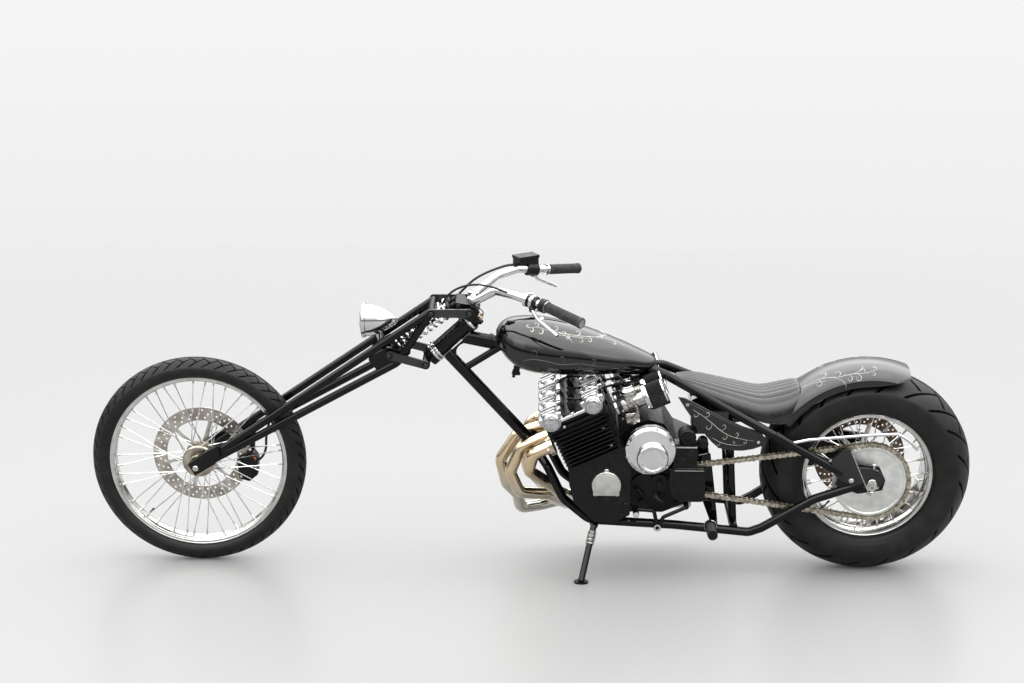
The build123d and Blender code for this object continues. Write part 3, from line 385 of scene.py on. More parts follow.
@dataclass(frozen=True)
class GroundSteel(Finish):
    """Steel that was ground as it turned about a wheel's axle, so that its scratches run in rings."""

    name: str
    centre: tuple[float, float, float]
    colour: tuple[float, float, float] = (0.55, 0.54, 0.52)
    tone: tuple[float, float, float] = (0.42, 0.41, 0.39)
    roughness: float = 0.28
    ring: float = 1.6

    def mix(self, recipe: Recipe) -> bpy.types.Material:
        """Write the steel into an empty recipe."""
        where = recipe.place(self.centre)
        x, _, z = recipe.split(where)
        radius = (x * x + z * z) ** 0.5
        rings = recipe.node("ShaderNodeTexNoise", {"noise_dimensions": "1D"},
                            {"W": radius, "Scale": 1.0 / self.ring})
        cloud = recipe.noise(where, 40.0)
        return recipe.surface(
            Base_Color=recipe.mix(cloud.ramp(0.3, 0.7), self.colour, self.tone),
            Metallic=1.0,
            Roughness=(rings - 0.5) * 0.25 + self.roughness,
            Normal=recipe.bump(rings, 0.00006, 0.6),
        )


@dataclass(frozen=True)
class TyreRubber(Finish):
    """Black tyre rubber with moulded rings on its walls and cut tread on its crown, whose grooves are
    painted near black as painted shade.

    The tread is measured across the crown from the wheel's middle plane, and pitch is the number of
    tread blocks round the tyre.
    """

    name: str
    centre: tuple[float, float, float]
    radius: float
    half: float
    pitch: int
    slant: float
    dash: float

    def mix(self, recipe: Recipe) -> bpy.types.Material:
        """Write the rubber into an empty recipe."""
        where = recipe.place(self.centre)
        x, y, z = recipe.split(where)
        radius = (x * x + z * z) ** 0.5
        turn = recipe.node("ShaderNodeMath", {"operation": "ARCTAN2"},
                           {0: z, 1: x}) * (self.pitch / (2 * math.pi))
        across = y.size() * (1.0 / self.half)
        depth = self.radius - radius
        lane = (turn + across * self.slant + across * across * self.slant * 0.7).fract()
        dashes = ((lane - 0.5).size() < self.dash) * ((across - 0.58).size() < 0.36)
        other = (turn + 0.62 - across * self.slant * 1.3).fract()
        short = ((other - 0.5).size() < self.dash * 0.9) * ((across - 0.36).size() < 0.24)
        groove = ((across - 0.05).size() < 0.035) + dashes + short
        tread = groove.math("MINIMUM", 1.0) * depth.ramp(self.half * 0.62, self.half * 0.45)
        wall = depth.ramp(self.half * 0.6, self.half * 0.75)
        rings = ((radius * 0.42).sin() * 0.5 + 0.5) * wall
        cloud = recipe.noise(where, 50.0, 4.0)
        colour = recipe.mix(cloud.ramp(0.35, 0.75), (0.006, 0.006, 0.006), (0.015, 0.0145, 0.0135))
        height = 1.0 - tread + rings * 0.06 + recipe.noise(where, 0.9) * 0.03
        return recipe.surface(
            # The grooves of the tread are painted near black and metallic: painted shade in the recesses.
            Base_Color=recipe.mix(tread, colour, (0.0012, 0.0012, 0.0012)),
            Roughness=cloud.ramp(0.3, 0.7, 0.42, 0.6) + tread * 0.3,
            Metallic=tread,
            Specular_IOR_Level=0.25,
            Normal=recipe.bump(height, 0.004, 0.8),
        )


@dataclass(frozen=True)
class Rubber(Finish):
    """Moulded rubber with a fine pebble."""

    name: str
    colour: tuple[float, float, float] = (0.02, 0.02, 0.02)
    roughness: float = 0.55

    def mix(self, recipe: Recipe) -> bpy.types.Material:
        """Write the rubber into an empty recipe."""
        where = recipe.place()
        tone = tuple(1.9 * part for part in self.colour)
        return recipe.surface(
            Base_Color=recipe.mix(recipe.noise(where, 14.0).ramp(0.35, 0.7), self.colour, tone),
            Roughness=recipe.noise(where, 6.0).ramp(0.2, 0.8, self.roughness - 0.1, self.roughness + 0.1),
            Specular_IOR_Level=0.3,
            Normal=recipe.bump(recipe.cells(where, 0.9), 0.00015, 0.5),
        )


@dataclass(frozen=True)
class SeatLeather(Finish):
    """Black leather with a pebbled grain, worn to a sheen in soft patches."""

    name: str = "seat_leather"

    def mix(self, recipe: Recipe) -> bpy.types.Material:
        """Write the leather into an empty recipe."""
        where = recipe.place()
        grain = recipe.cells(where, 2.2)
        folds = recipe.noise(where, 22.0, 4.0)
        return recipe.surface(
            Base_Color=recipe.mix(folds.ramp(0.35, 0.7), (0.0045, 0.0043, 0.0043), (0.010, 0.0095, 0.009)),
            Roughness=folds.ramp(0.25, 0.75, 0.20, 0.34) - grain * 0.05,
            Specular_IOR_Level=0.5,
            Normal=recipe.bump(grain + folds * 0.8, 0.0002, 0.5),
        )


@dataclass(frozen=True)
class Glass(Finish):
    """Clear lamp glass with a faint pressed ripple."""

    name: str = "lamp_glass"

    def mix(self, recipe: Recipe) -> bpy.types.Material:
        """Write the glass into an empty recipe."""
        _, y, _ = recipe.split(recipe.place())
        return recipe.surface(
            Base_Color=(0.93, 0.95, 0.97),
            Roughness=0.02,
            Transmission_Weight=0.9,
            IOR=1.45,
            Normal=recipe.bump((y * 0.7).sin() * 0.5 + 0.5, 0.0008, 0.35),
        )


GLOSS_BLACK = Coating("gloss_black", (0.0035, 0.0035, 0.004), (0.005, 0.005, 0.006), 0.0, 0.06, 0.12, 90.0,
                      0.7, 0.00001, 1.0, 0.0)
FRAME_BLACK = Coating("frame_black", (0.003, 0.003, 0.0035), (0.005, 0.005, 0.005), 0.0, 0.10, 0.20, 70.0,
                      0.9, 0.00001, 0.42, 0.0)
SATIN_BLACK = Coating("satin_black", (0.005, 0.005, 0.005), (0.010, 0.010, 0.010), 0.0, 0.28, 0.45, 25.0,
                      0.6, 0.00005, 0.1, 0.12)
LINK_GREY = Coating("link_grey", (0.018, 0.021, 0.018), (0.028, 0.031, 0.027), 0.2, 0.25, 0.4)
CHROME = Coating("chrome", (0.63, 0.63, 0.64), (0.57, 0.57, 0.58), 1.0, 0.03, 0.09, 35.0, 1.5, 0.000006)
CAST_CHROME = Coating("cast_chrome", (0.52, 0.52, 0.53), (0.34, 0.34, 0.345), 1.0, 0.13, 0.24, 13.0, 1.5,
                      0.00008)
ALLOY = Coating("cast_alloy", (0.50, 0.495, 0.475), (0.20, 0.19, 0.165), 1.0, 0.22, 0.38, 14.0, 0.9, 0.00009)
POLISHED = Coating("polished_alloy", (0.58, 0.575, 0.56), (0.46, 0.455, 0.44), 1.0, 0.08, 0.2, 30.0, 1.4,
                   0.00002)
SATIN_ALLOY = Coating("satin_alloy", (0.60, 0.60, 0.57), (0.50, 0.50, 0.48), 1.0, 0.30, 0.42, 24.0, 0.5,
                      0.00004)
SPOKE_STEEL = Coating("spoke_steel", (0.72, 0.72, 0.72), (0.52, 0.51, 0.49), 1.0, 0.12, 0.3, 30.0, 1.5,
                      0.00003)
BOLT_ZINC = Coating("bolt_zinc", (0.58, 0.57, 0.54), (0.42, 0.40, 0.36), 1.0, 0.22, 0.4, 9.0, 0.5, 0.00005)
HUB_ALLOY = Coating("hub_alloy", (0.44, 0.40, 0.33), (0.24, 0.21, 0.17), 1.0, 0.20, 0.36, 26.0, 0.8, 0.00004)
CHAIN_BRASS = Coating("chain_brass", (0.50, 0.46, 0.38), (0.20, 0.18, 0.14), 1.0, 0.25, 0.45, 12.0, 0.6,
                      0.00008)
SPROCKET_STEEL = Coating("sprocket_steel", (0.74, 0.75, 0.73), (0.60, 0.61, 0.59), 1.0, 0.34, 0.5, 30.0, 0.7,
                         0.00004)
# Near black for the cords along the seat's channels: the sewn seams, painted darker as painted shade in the
# channels.
SEAM_SHADE_BLACK = Coating("painted_seam_shade", (0.002, 0.002, 0.002), (0.004, 0.004, 0.004), 0.0, 0.6, 0.8)
CREAM_LINE = Coating("cream_pinstripe", (0.78, 0.74, 0.64), (0.62, 0.58, 0.50), 0.0, 0.2, 0.35, 18.0, 0.8,
                     0.00001, 0.7)
GHOST_LINE = Coating("ghost_pinstripe", (0.05, 0.048, 0.044), (0.032, 0.03, 0.028), 0.2, 0.2, 0.3, 22.0, 0.8,
                     0.00001, 0.7)
MARKER_ORANGE = Coating("marker_orange", (0.40, 0.12, 0.05), (0.28, 0.08, 0.03), 0.0, 0.3, 0.45)
ENGINE_BLACK = WrinklePaint()
HEADER = HeaderSteel()
LEATHER = SeatLeather()
LAMP_GLASS = Glass()
GRIP_RUBBER = Rubber("grip_rubber", (0.028, 0.028, 0.029), 0.6)
HOSE_RUBBER = Rubber("hose_rubber", (0.008, 0.008, 0.008), 0.42)
FILTER_PLEAT = Rubber("filter_pleat", (0.006, 0.006, 0.006), 0.7)


def smooth_line(points: Sequence[Point], steps: int = 4) -> list[Vector]:
    """Return points along a smooth line that passes through the given ones.

    Args:
        points: The points, in order.
        steps: The number of parts that each span is cut into.

    Returns:
        The points of the line, first and last included.
    """
    knots = [Vector(point) for point in points]
    knots = [2 * knots[0] - knots[1], *knots, 2 * knots[-1] - knots[-2]]
    line = []
    for a, b, c, d in zip(knots, knots[1:], knots[2:], knots[3:]):
        for step in range(steps):
            t = step / steps
            line.append(
                0.5 * (2 * b + (c - a) * t + (2 * a - 5 * b + 4 * c - d) * t * t
                       + (3 * b - a - 3 * c + d) * t * t * t)
            )
    return [*line, knots[-2]]


class Shape:
    """A mesh being modelled on the upright machine, with operators that each add to it."""

    def __init__(self) -> None:
        """Start an empty shape."""
        self.bm: BMesh = bmesh.new()

    @staticmethod
    def basis(at: Point, axis: Point) -> Matrix:
        """Return a matrix that puts the origin at a point and Z along an axis."""
        z = Vector(axis).normalized()
        helper = ACROSS if abs(z.y) < 0.9 else FORWARD
        x = helper.cross(z).normalized()
        turned = Matrix((x, z.cross(x), z)).transposed().to_4x4()
        return Matrix.Translation(Vector(at)) @ turned

    def turned(self, profile: Profile, at: Point, axis: Point = ACROSS, steps: int = 48) -> "Shape":
        """Turn a profile about an axis.

        Args:
            profile: Pairs of radius and height along the axis, from one end to the other.
            at: The foot of the axis.
            axis: Its direction.
            steps: The number of sides.

        Returns:
            This shape.
        """
        basis = self.basis(at, axis)
        part = bmesh.new()
        line = [part.verts.new(basis @ Vector((radius, 0.0, height))) for radius, height in profile]
        edges = [part.edges.new(pair) for pair in zip(line, line[1:])]
        bmesh.ops.spin(
            part, geom=[*line, *edges], cent=Vector(at), axis=Vector(axis).normalized(), angle=2 * math.pi,
            steps=steps, use_merge=True, use_duplicate=False,
        )
        return self.take(part)

    def arched(self, profile: Profile, at: Point, start: float, sweep: float, steps: int = 32) -> "Shape":
        """Turn a closed profile part of the way round an axis across the machine, and close its ends.

        Args:
            profile: Pairs of y and radius round the profile.
            at: The foot of the axis.
            start: The angle of the first end in degrees, from upright towards the front.
            sweep: The angle that it turns through in degrees, towards the rear.
            steps: The number of parts.

        Returns:
            This shape.
        """
        part = bmesh.new()
        lead = Vector((math.sin(math.radians(start)), 0.0, math.cos(math.radians(start))))
        line = [part.verts.new(Vector(at) + lead * radius + ACROSS * y) for y, radius in profile]
        edges = [part.edges.new(pair) for pair in zip(line, line[1:] + line[:1])]
        made = bmesh.ops.spin(
            part, geom=[*line, *edges], cent=Vector(at), axis=-ACROSS, angle=math.radians(sweep),
            steps=steps, use_merge=False, use_duplicate=False,
        )
        far = [item for item in made["geom_last"] if isinstance(item, BMEdge)]
        for rim in (edges, far):
            bmesh.ops.triangle_fill(part, use_beauty=True, use_dissolve=False, edges=rim)
        return self.take(part)

    def lofted(self, rings: Sequence[Callable[[float], Point]], sides: int = 32) -> "Shape":
        """Join a row of rings into a closed skin.

        Args:
            rings: For each ring, the point at an angle round it.
            sides: The number of points in a ring.

        Returns:
            This shape.
        """
        part = bmesh.new()
        before: list[BMEdge] = []
        for number, ring in enumerate(rings):
            made = bmesh.ops.create_circle(part, cap_ends=False, segments=sides, radius=1.0)["verts"]
            edges = list({edge for vert in made for edge in vert.link_edges})
            for vert in made:
                vert.co = Vector(ring(math.atan2(vert.co.y, vert.co.x)))
            if before:
                bmesh.ops.bridge_loops(part, edges=before + edges)
            if number in (0, len(rings) - 1):
                bmesh.ops.edgeloop_fill(part, edges=edges)
            before = edges
        return self.take(part)

    def round_plate(self, at: Point, radius: float, y_low: float, y_high: float,
                    holes: Iterable[tuple[float, float, float]] = ()) -> "Shape":
        """Cut a round plate across the machine, with round holes given as x, z and radius."""
        part = bmesh.new()
        edges: list[BMEdge] = []
        for x, z, size in ((at[0], at[2], radius), *holes):
            made = bmesh.ops.create_circle(
                part, cap_ends=False, segments=max(8, min(96, int(size))), radius=size,
                matrix=self.basis((x, y_low, z), ACROSS),
            )
            edges += list({edge for vert in made["verts"] for edge in vert.link_edges})
        bmesh.ops.triangle_fill(part, use_beauty=True, use_dissolve=False, edges=edges)
        grown = bmesh.ops.extrude_face_region(part, geom=part.faces[:], use_keep_orig=True)["geom"]
        raised = [item for item in grown if isinstance(item, BMVert)]
        bmesh.ops.translate(part, vec=(0.0, y_high - y_low, 0.0), verts=raised)
        return self.take(part)

    def ringed(self, profile: Profile, at: Point, axis: Point = ACROSS, steps: int = 48) -> "Shape":
        """Turn a closed profile, which doesn't touch the axis, into a ring."""
        return self.turned([*profile, profile[0]], at, axis, steps)

    def swept(self, line: Sequence[Point], radius: Union[float, Sequence[float]], sides: int = 14,
              flat: float = 1.0) -> "Shape":
        """Draw a round bar along a line by extruding one ring from point to point.

        Args:
            line: The points of its middle line.
            radius: Its radius, or one for each point.
            sides: The number of sides.
            flat: How tall the section is for its width.

        Returns:
            This shape.
        """
        points = [Vector(point) for point in line]
        radii = [radius] * len(points) if isinstance(radius, (int, float)) else list(radius)
        part = bmesh.new()
        heading = (points[1] - points[0]).normalized()
        place = self.basis(points[0], heading)
        squeeze = Matrix.Diagonal((flat, 1.0, 1.0, 1.0))
        made = bmesh.ops.create_circle(part, cap_ends=False, segments=sides, radius=1.0)
        ring = list({edge for vert in made["verts"] for edge in vert.link_edges})
        current = place @ Matrix.Scale(radii[0], 4) @ squeeze
        bmesh.ops.transform(part, matrix=current, verts=made["verts"])
        bmesh.ops.edgeloop_fill(part, edges=ring)
        for index in range(1, len(points)):
            before = (points[index] - points[index - 1]).normalized()
            after = (points[min(index + 1, len(points) - 1)] - points[index]).normalized()
            facing = before if after.length < 0.5 else (before + after).normalized()
            turn = heading.rotation_difference(facing).to_matrix().to_4x4()
            place = Matrix.Translation(points[index]) @ turn @ Matrix.Translation(-place.translation) @ place
            heading = facing
            following = place @ Matrix.Scale(radii[index], 4) @ squeeze
            grown = bmesh.ops.extrude_edge_only(part, edges=ring)["geom"]
            fresh = {item for item in grown if isinstance(item, BMVert)}
            ring = [item for item in grown if isinstance(item, BMEdge) and set(item.verts) <= fresh]
            bmesh.ops.transform(part, matrix=following @ current.inverted(), verts=list(fresh))
            current = following
        bmesh.ops.edgeloop_fill(part, edges=ring)
        return self.take(part)

    def slab(self, outline: Sequence[tuple[float, float]], y_low: float, y_high: float, bevel: float = 0.0,
             segments: int = 2, holes: Iterable[tuple[float, float, float]] = ()) -> "Shape":
        """Cut a flat plate from its side view.

        Args:
            outline: Its corners, as x and z.
            y_low: The plane of its right face.
            y_high: The plane of its left face.
            bevel: The width of its rounded edges.
            segments: The number of parts in a rounded edge.
            holes: Round holes, each as x, z and radius.

        Returns:
            This shape.
        """
        part = bmesh.new()
        corners = [part.verts.new((x, y_low, z)) for x, z in outline]
        edges = [part.edges.new(pair) for pair in zip(corners, corners[1:] + corners[:1])]
        for x, z, radius in holes:
            made = bmesh.ops.create_circle(
                part, cap_ends=False, segments=10, radius=radius, matrix=self.basis((x, y_low, z), ACROSS)
            )
            edges += list({edge for vert in made["verts"] for edge in vert.link_edges})
        bmesh.ops.triangle_fill(part, use_beauty=True, use_dissolve=not holes, edges=edges)
        grown = bmesh.ops.extrude_face_region(part, geom=part.faces[:], use_keep_orig=True)["geom"]
        raised = [item for item in grown if isinstance(item, BMVert)]
        bmesh.ops.translate(part, vec=(0.0, y_high - y_low, 0.0), verts=raised)
        bmesh.ops.recalc_face_normals(part, faces=part.faces[:])
        if bevel:
            rims = [edge for edge in part.edges
                    if len(edge.link_faces) == 2 and edge.calc_face_angle(0.0) > 0.5]
            bmesh.ops.bevel(
                part, geom=rims, offset=bevel, offset_type="OFFSET", affect="EDGES", segments=segments,
                profile=0.5, material=-1, clamp_overlap=True,
            )
        return self.take(part)

    def block(self, centre: Point, size: Point, bevel: float = 1.0, turn: Optional[Matrix] = None,
              segments: int = 2) -> "Shape":
        """Add a box with rounded edges.

        Args:
            centre: Its middle.
            size: Its three lengths.
            bevel: The width of its rounded edges.
            turn: Its turn, or none.
            segments: The number of parts in a rounded edge.

        Returns:
            This shape.
        """
        part = bmesh.new()
        bmesh.ops.create_cube(part, size=1.0, matrix=Matrix.Diagonal((*size, 1.0)))
        if bevel:
            bmesh.ops.bevel(
                part, geom=part.edges[:], offset=bevel, offset_type="OFFSET", affect="EDGES",
                segments=segments, profile=0.5, material=-1, clamp_overlap=True,
            )
        turned = (turn or Matrix.Identity(3)).to_4x4()
        bmesh.ops.transform(part, matrix=Matrix.Translation(Vector(centre)) @ turned, verts=part.verts[:])
        return self.take(part)

    def hexagon(self, at: Point, axis: Point, radius: float, height: float, washer: float = 0.0) -> "Shape":
        """Add a bolt head or nut with a chamfered top, and a washer under it where its radius is given."""
        part = bmesh.new()
        bmesh.ops.create_cone(
            part, cap_ends=True, cap_tris=False, segments=6, radius1=radius, radius2=radius, depth=height,
            matrix=self.basis(at, axis) @ Matrix.Translation((0.0, 0.0, height / 2)),
        )
        top = Vector(at) + Vector(axis).normalized() * height
        rims = [e for e in part.edges if all((v.co - top).dot(Vector(axis)) > -1e-4 for v in e.verts)]
        bmesh.ops.bevel(
            part, geom=rims, offset=min(radius, height) * 0.18, affect="EDGES", segments=1, profile=0.5,
            material=-1, offset_type="OFFSET",
        )
        self.take(part)
        if washer:
            self.turned([(0, 0), (washer, 0.0), (washer, 0.9), (0, 0.9)], at, axis, 18)
        return self

    def domed(self, at: Point, axis: Point, radius: float, height: float, steps: int = 16) -> "Shape":
        """Add a round head with a domed top and a hexagon socket in it."""
        profile = [(0.0, height * 0.55), (radius * 0.42, height * 0.55), (radius * 0.42, height * 0.98),
                   (radius * 0.78, height), (radius * 0.95, height * 0.86), (radius, height * 0.6),
                   (radius, 0.0)]
        return self.turned(profile, at, axis, steps)

    def mirrored(self) -> "Shape":
        """Add the other side of the machine."""
        part = self.bm.copy()
        bmesh.ops.scale(part, vec=(1, -1, 1), verts=part.verts[:])
        bmesh.ops.reverse_faces(part, faces=part.faces[:])
        return self.take(part)

    def repeated(self, places: Iterable[Matrix]) -> "Shape":
        """Put a copy of the shape at each of the places, in the stead of the first."""
        pattern = bpy.data.meshes.new("pattern")
        self.bm.to_mesh(pattern)
        self.bm.clear()
        for place in places:
            part = bmesh.new()
            part.from_mesh(pattern)
            bmesh.ops.transform(part, matrix=place, verts=part.verts[:])
            self.take(part)
        bpy.data.meshes.remove(pattern)
        return self

    def take(self, part: BMesh) -> "Shape":
        """Close a finished part's doubles, turn its faces outwards and add it to the shape."""
        bmesh.ops.remove_doubles(part, verts=part.verts[:], dist=0.0005)
        bmesh.ops.recalc_face_normals(part, faces=part.faces[:])
        carried = bpy.data.meshes.new("carried")
        part.to_mesh(carried)
        part.free()
        self.bm.from_mesh(carried)
        bpy.data.meshes.remove(carried)
        return self

    def piece(self, name: str, body: Body, finish: Finish, slot: Slot, replaces: Sequence[str] = (),
              sharp: float = 32.0, subdivide: int = 0) -> bpy.types.Object:
        """Seat the shape on the parked machine as one piece of the model.

        Args:
            name: The piece's name.
            body: The body that it rides on.
            finish: What it is finished in.
            slot: The record's slot for that finish; not used.
            replaces: The CAD nodes that it stands for.
            sharp: The angle in degrees above which an edge stays sharp.
            subdivide: The number of subdivision levels.

        Returns:
            The piece.
        """
        bmesh.ops.transform(self.bm, matrix=PARKED, verts=self.bm.verts[:])
        for face in self.bm.faces:
            face.smooth = True
        for edge in self.bm.edges:
            if edge.is_manifold and edge.calc_face_angle(0.0) > math.radians(sharp):
                edge.smooth = False
        mesh = bpy.data.meshes.new(name)
        self.bm.to_mesh(mesh)
        self.bm.free()
        mesh.materials.append(finish.material())
        made = bpy.data.objects.new(name, mesh)
        bpy.context.scene.collection.objects.link(made)
        if subdivide:
            rounder = made.modifiers.new("rounder", "SUBSURF")
            rounder.levels = subdivide
            rounder.render_levels = subdivide
        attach(made, body.value)
        if replaces:
            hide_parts(*replaces)
        log.info("%s on %s: %d faces", name, body.value, len(mesh.polygons))
        return made


@dataclass
class CadFinish:
    """The finish of each CAD node that is shown as it was packed, with its curved faces smoothed.

    An edge stays sharp above the angle given as sharp, in radians.
    """

    nodes: Sequence[tuple[Finish, str]] = (
        (FRAME_BLACK, "headstock backbone down_tube cradle seat_stays rear_uprights"),
        (FRAME_BLACK, "steering_trees girder_legs side_stand foot_controls"),
        (LINK_GREY, "fork_links"),
        (ENGINE_BLACK, "crankcase cylinder_block cylinder_head"),
        (SATIN_BLACK, "sprocket_cover rear_caliper front_caliper bar_controls"),
        (HEADER, "exhaust"),
        (CHROME, "handlebar chain_guard"),
        (BOLT_ZINC, "front_axle rear_axle"),
    )
    sharp: float = 0.5

    def smoother(self) -> bpy.types.NodeTree:
        """Return the geometry nodes that join loose triangles and smooth all but their sharp edges."""
        tree = bpy.data.node_groups.new("smooth_curved_faces", "GeometryNodeTree")
        tree.interface.new_socket(name="Geometry", in_out="INPUT", socket_type="NodeSocketGeometry")
        tree.interface.new_socket(name="Geometry", in_out="OUTPUT", socket_type="NodeSocketGeometry")
        start = tree.nodes.new("NodeGroupInput")
        merge = tree.nodes.new("GeometryNodeMergeByDistance")
        merge.inputs["Distance"].default_value = 0.000002
        angle = tree.nodes.new("GeometryNodeInputMeshEdgeAngle")
        compare = tree.nodes.new("FunctionNodeCompare")
        compare.operation = "GREATER_THAN"
        compare.inputs["B"].default_value = self.sharp
        split = tree.nodes.new("GeometryNodeSplitEdges")
        smooth = tree.nodes.new("GeometryNodeSetShadeSmooth")
        end = tree.nodes.new("NodeGroupOutput")
        for source, target in (
            (start.outputs[0], merge.inputs["Geometry"]), (merge.outputs[0], split.inputs["Mesh"]),
            (angle.outputs["Unsigned Angle"], compare.inputs["A"]),
            (compare.outputs[0], split.inputs["Selection"]), (split.outputs[0], smooth.inputs["Geometry"]),
            (smooth.outputs[0], end.inputs[0]),
        ):
            tree.links.new(source, target)
        return tree

    def build(self) -> None:
        """Dress the nodes."""
        tree = self.smoother()
        for finish, names in self.nodes:
            for name in names.split():
                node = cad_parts[name]
                if not node.data.materials:
                    node.data.materials.append(None)
                for index in range(len(node.data.materials)):
                    node.data.materials[index] = finish.material()
                node.modifiers.new("smoother", "NODES").node_group = tree
                log.info("%s is shown as packed, in %s", name, finish.name)


@dataclass
class Cord:
    """A hose or cable whose smooth middle line has the route's points as its control points."""

    name: str
    node: str
    route: Sequence[tuple[float, float, float]]
    radius: float
    length: float
    finish: Finish
    stiffness: str

    def build(self) -> bpy.types.Object:
        """Return the finished cord."""
        curve = bpy.data.curves.new(self.name, "CURVE")
        curve.dimensions = "3D"
        curve.bevel_depth = self.radius / 1000
        curve.bevel_resolution = 4
        curve.use_fill_caps = True
        spline = curve.splines.new("NURBS")
        spline.points.add(len(self.route) - 1)
        for control, point in zip(spline.points, self.route):
            control.co = (*seated(point), 1.0)
        spline.order_u = 3
        spline.use_endpoint_u = True
        spline.resolution_u = 6
        curve.materials.append(self.finish.material())
        made = bpy.data.objects.new(self.name, curve)
        bpy.context.scene.collection.objects.link(made)
        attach(made, Body.STEERING.value)
        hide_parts(self.node)
        log.info("%s: a cord of %.2f m", self.name, self.length)
        return made


@dataclass
class Studio:
    """The camera at the photograph's angle, a pale floor and soft lights."""

    focal_pixels: float = 2036.7
    camera_at: tuple[float, float, float] = (1043, 6361, 1727)
    yaw: float = math.radians(-0.66)
    pitch: float = math.radians(9.06)
    roll: float = math.radians(0.44)
    image_width: int = 1024
    sensor: float = 36.0
    floor_half: float = 9.0

    def camera(self) -> bpy.types.Object:
        """Return the camera, placed as the photograph's was."""
        forward = Vector((
            -math.sin(self.yaw) * math.cos(self.pitch), -math.cos(self.yaw) * math.cos(self.pitch),
            -math.sin(self.pitch),
        ))
        right = Vector((-math.cos(self.yaw), math.sin(self.yaw), 0.0))
        up = right.cross(forward)
        level = right * math.cos(self.roll) + up * math.sin(self.roll)
        upright = up * math.cos(self.roll) - right * math.sin(self.roll)
        lens = bpy.data.cameras.new("camera")
        lens.sensor_width = self.sensor
        lens.lens = self.focal_pixels * self.sensor / self.image_width
        lens.clip_end = 100.0
        made = bpy.data.objects.new("camera", lens)
        turn = Matrix((level, upright, -forward)).transposed().to_4x4()
        made.matrix_world = Matrix.Translation((Vector(self.camera_at) - ROW_ORIGIN) / 1000) @ turn
        bpy.context.scene.collection.objects.link(made)
        bpy.context.scene.camera = made
        return made

    def lamp(self, name: str, at: Point, aim: Point, size: tuple[float, float], power: float) -> None:
        """Add one soft light.

        Args:
            name: The light's name.
            at: Its place in metres.
            aim: The point that it shines at.
            size: Its width and height in metres.
            power: Its power in watts.
        """
        light = bpy.data.lights.new(name, "AREA")
        light.shape = "RECTANGLE"
        light.size, light.size_y = size
        light.energy = power
        made = bpy.data.objects.new(name, light)
        made.location = at
        made.rotation_mode = "QUATERNION"
        made.rotation_quaternion = (Vector(aim) - Vector(at)).to_track_quat("-Z", "Y")
        bpy.context.scene.collection.objects.link(made)

    def floor(self) -> None:
        """Add the floor, whose far part fades into the pale surroundings."""
        part = bmesh.new()
        bmesh.ops.create_grid(part, x_segments=2, y_segments=2, size=self.floor_half)
        mesh = bpy.data.meshes.new("floor")
        part.to_mesh(mesh)
        part.free()
        recipe = Recipe("floor_pale")
        where = recipe.node("ShaderNodeTexCoord", {}, {}, "Object")
        cloud = recipe.node("ShaderNodeTexNoise", {}, {"Vector": where, "Scale": 0.3, "Detail": 2.0})
        mesh.materials.append(recipe.surface(
            Base_Color=recipe.mix(cloud.ramp(0, 1), (0.665, 0.665, 0.655), (0.685, 0.685, 0.68)),
            Roughness=0.36,
            Specular_IOR_Level=0.14,
        ))
        made = bpy.data.objects.new("floor", mesh)
        bpy.context.scene.collection.objects.link(made)

    def sky(self) -> None:
        """Make the surroundings pale and even, and for polished parts a bright ceiling over a dim far room.

        Each sky is a ramp of brightness over height, from 0 straight down to 1 straight up.
        """
        world = bpy.data.worlds.new("studio")
        bpy.context.scene.world = world
        world.use_nodes = True
        tree = world.node_tree
        tree.nodes.clear()
        where = tree.nodes.new("ShaderNodeTexCoord")
        parts = tree.nodes.new("ShaderNodeSeparateXYZ")
        rays = tree.nodes.new("ShaderNodeLightPath")
        output = tree.nodes.new("ShaderNodeOutputWorld")
        blend = tree.nodes.new("ShaderNodeMixShader")
        tree.links.new(where.outputs["Generated"], parts.inputs[0])
        skies = (
            ((0, 0.83), (0.5, 0.915), (0.444, 0.855)), ((0, 0.82), (0.47, 0.80), (0.5, 0.12), (0.53, 0.12),
                                                        (0.56, 0.75), (0.66, 1.2), (0.76, 4.2), (0.9, 5)),
        )
        for number, stops in enumerate(skies):
            lift = tree.nodes.new("ShaderNodeMath")
            lift.operation = "MULTIPLY_ADD"
            lift.inputs[1].default_value = 0.5
            lift.inputs[2].default_value = 0.5
            tree.links.new(parts.outputs["Z"], lift.inputs[0])
            ramp = tree.nodes.new("ShaderNodeValToRGB")
            back = tree.nodes.new("ShaderNodeBackground")
            marks = ramp.color_ramp.elements
            for place, value in stops[2:]:
                marks.new(place)
            for mark, (place, value) in zip(marks, sorted(stops)):
                mark.position = place
                mark.color = (value, value, value * 1.01, 1.0)
            tree.links.new(lift.outputs[0], ramp.inputs[0])
            tree.links.new(ramp.outputs[0], back.inputs["Color"])
            tree.links.new(back.outputs[0], blend.inputs[number + 1])
        tree.links.new(rays.outputs["Is Glossy Ray"], blend.inputs[0])
        tree.links.new(blend.outputs[0], output.inputs[0])

    def build(self) -> None:
        """Set the studio up."""
        self.camera()
        self.floor()
        self.sky()
        self.lamp("overhead", (0, 0.3, 4.2), (0, 0, 0.4), (5, 2.4), 30.0)
        self.lamp("front_left", (2.6, 4.2, 2.8), (0.2, 0, 0.4), (2.2, 2.2), 14.0)
        self.lamp("rear_left", (-3, 3.6, 2.6), (-0.4, 0, 0.4), (2, 2), 12.0)
        bpy.context.scene.view_settings.view_transform = "Standard"
        log.info("studio set up")


HOSE_ROUTE = (
    (1092, -178, 937), (1124, -164, 942), (1164, -142, 935), (1206, -124, 922),
    (1242, -110, 903), (1270, -102, 876), (1296, -100, 848), (1336, -99, 830),
    (1390, -96, 818), (1450, -92, 783), (1530, -90, 728), (1660, -90, 637),
    (1790, -90, 547), (1858, -90, 497), (1890, -88, 441), (1902, -79, 386),
    (1900, -66, 350), (1912, -52, 324), (1932, -47, 312),
)
CABLE_ROUTE = (
    (1084, 162, 926), (1128, 134, 935), (1180, 104, 947), (1236, 76, 945),
    (1288, 52, 923), (1322, 34, 887), (1330, 22, 862),
)


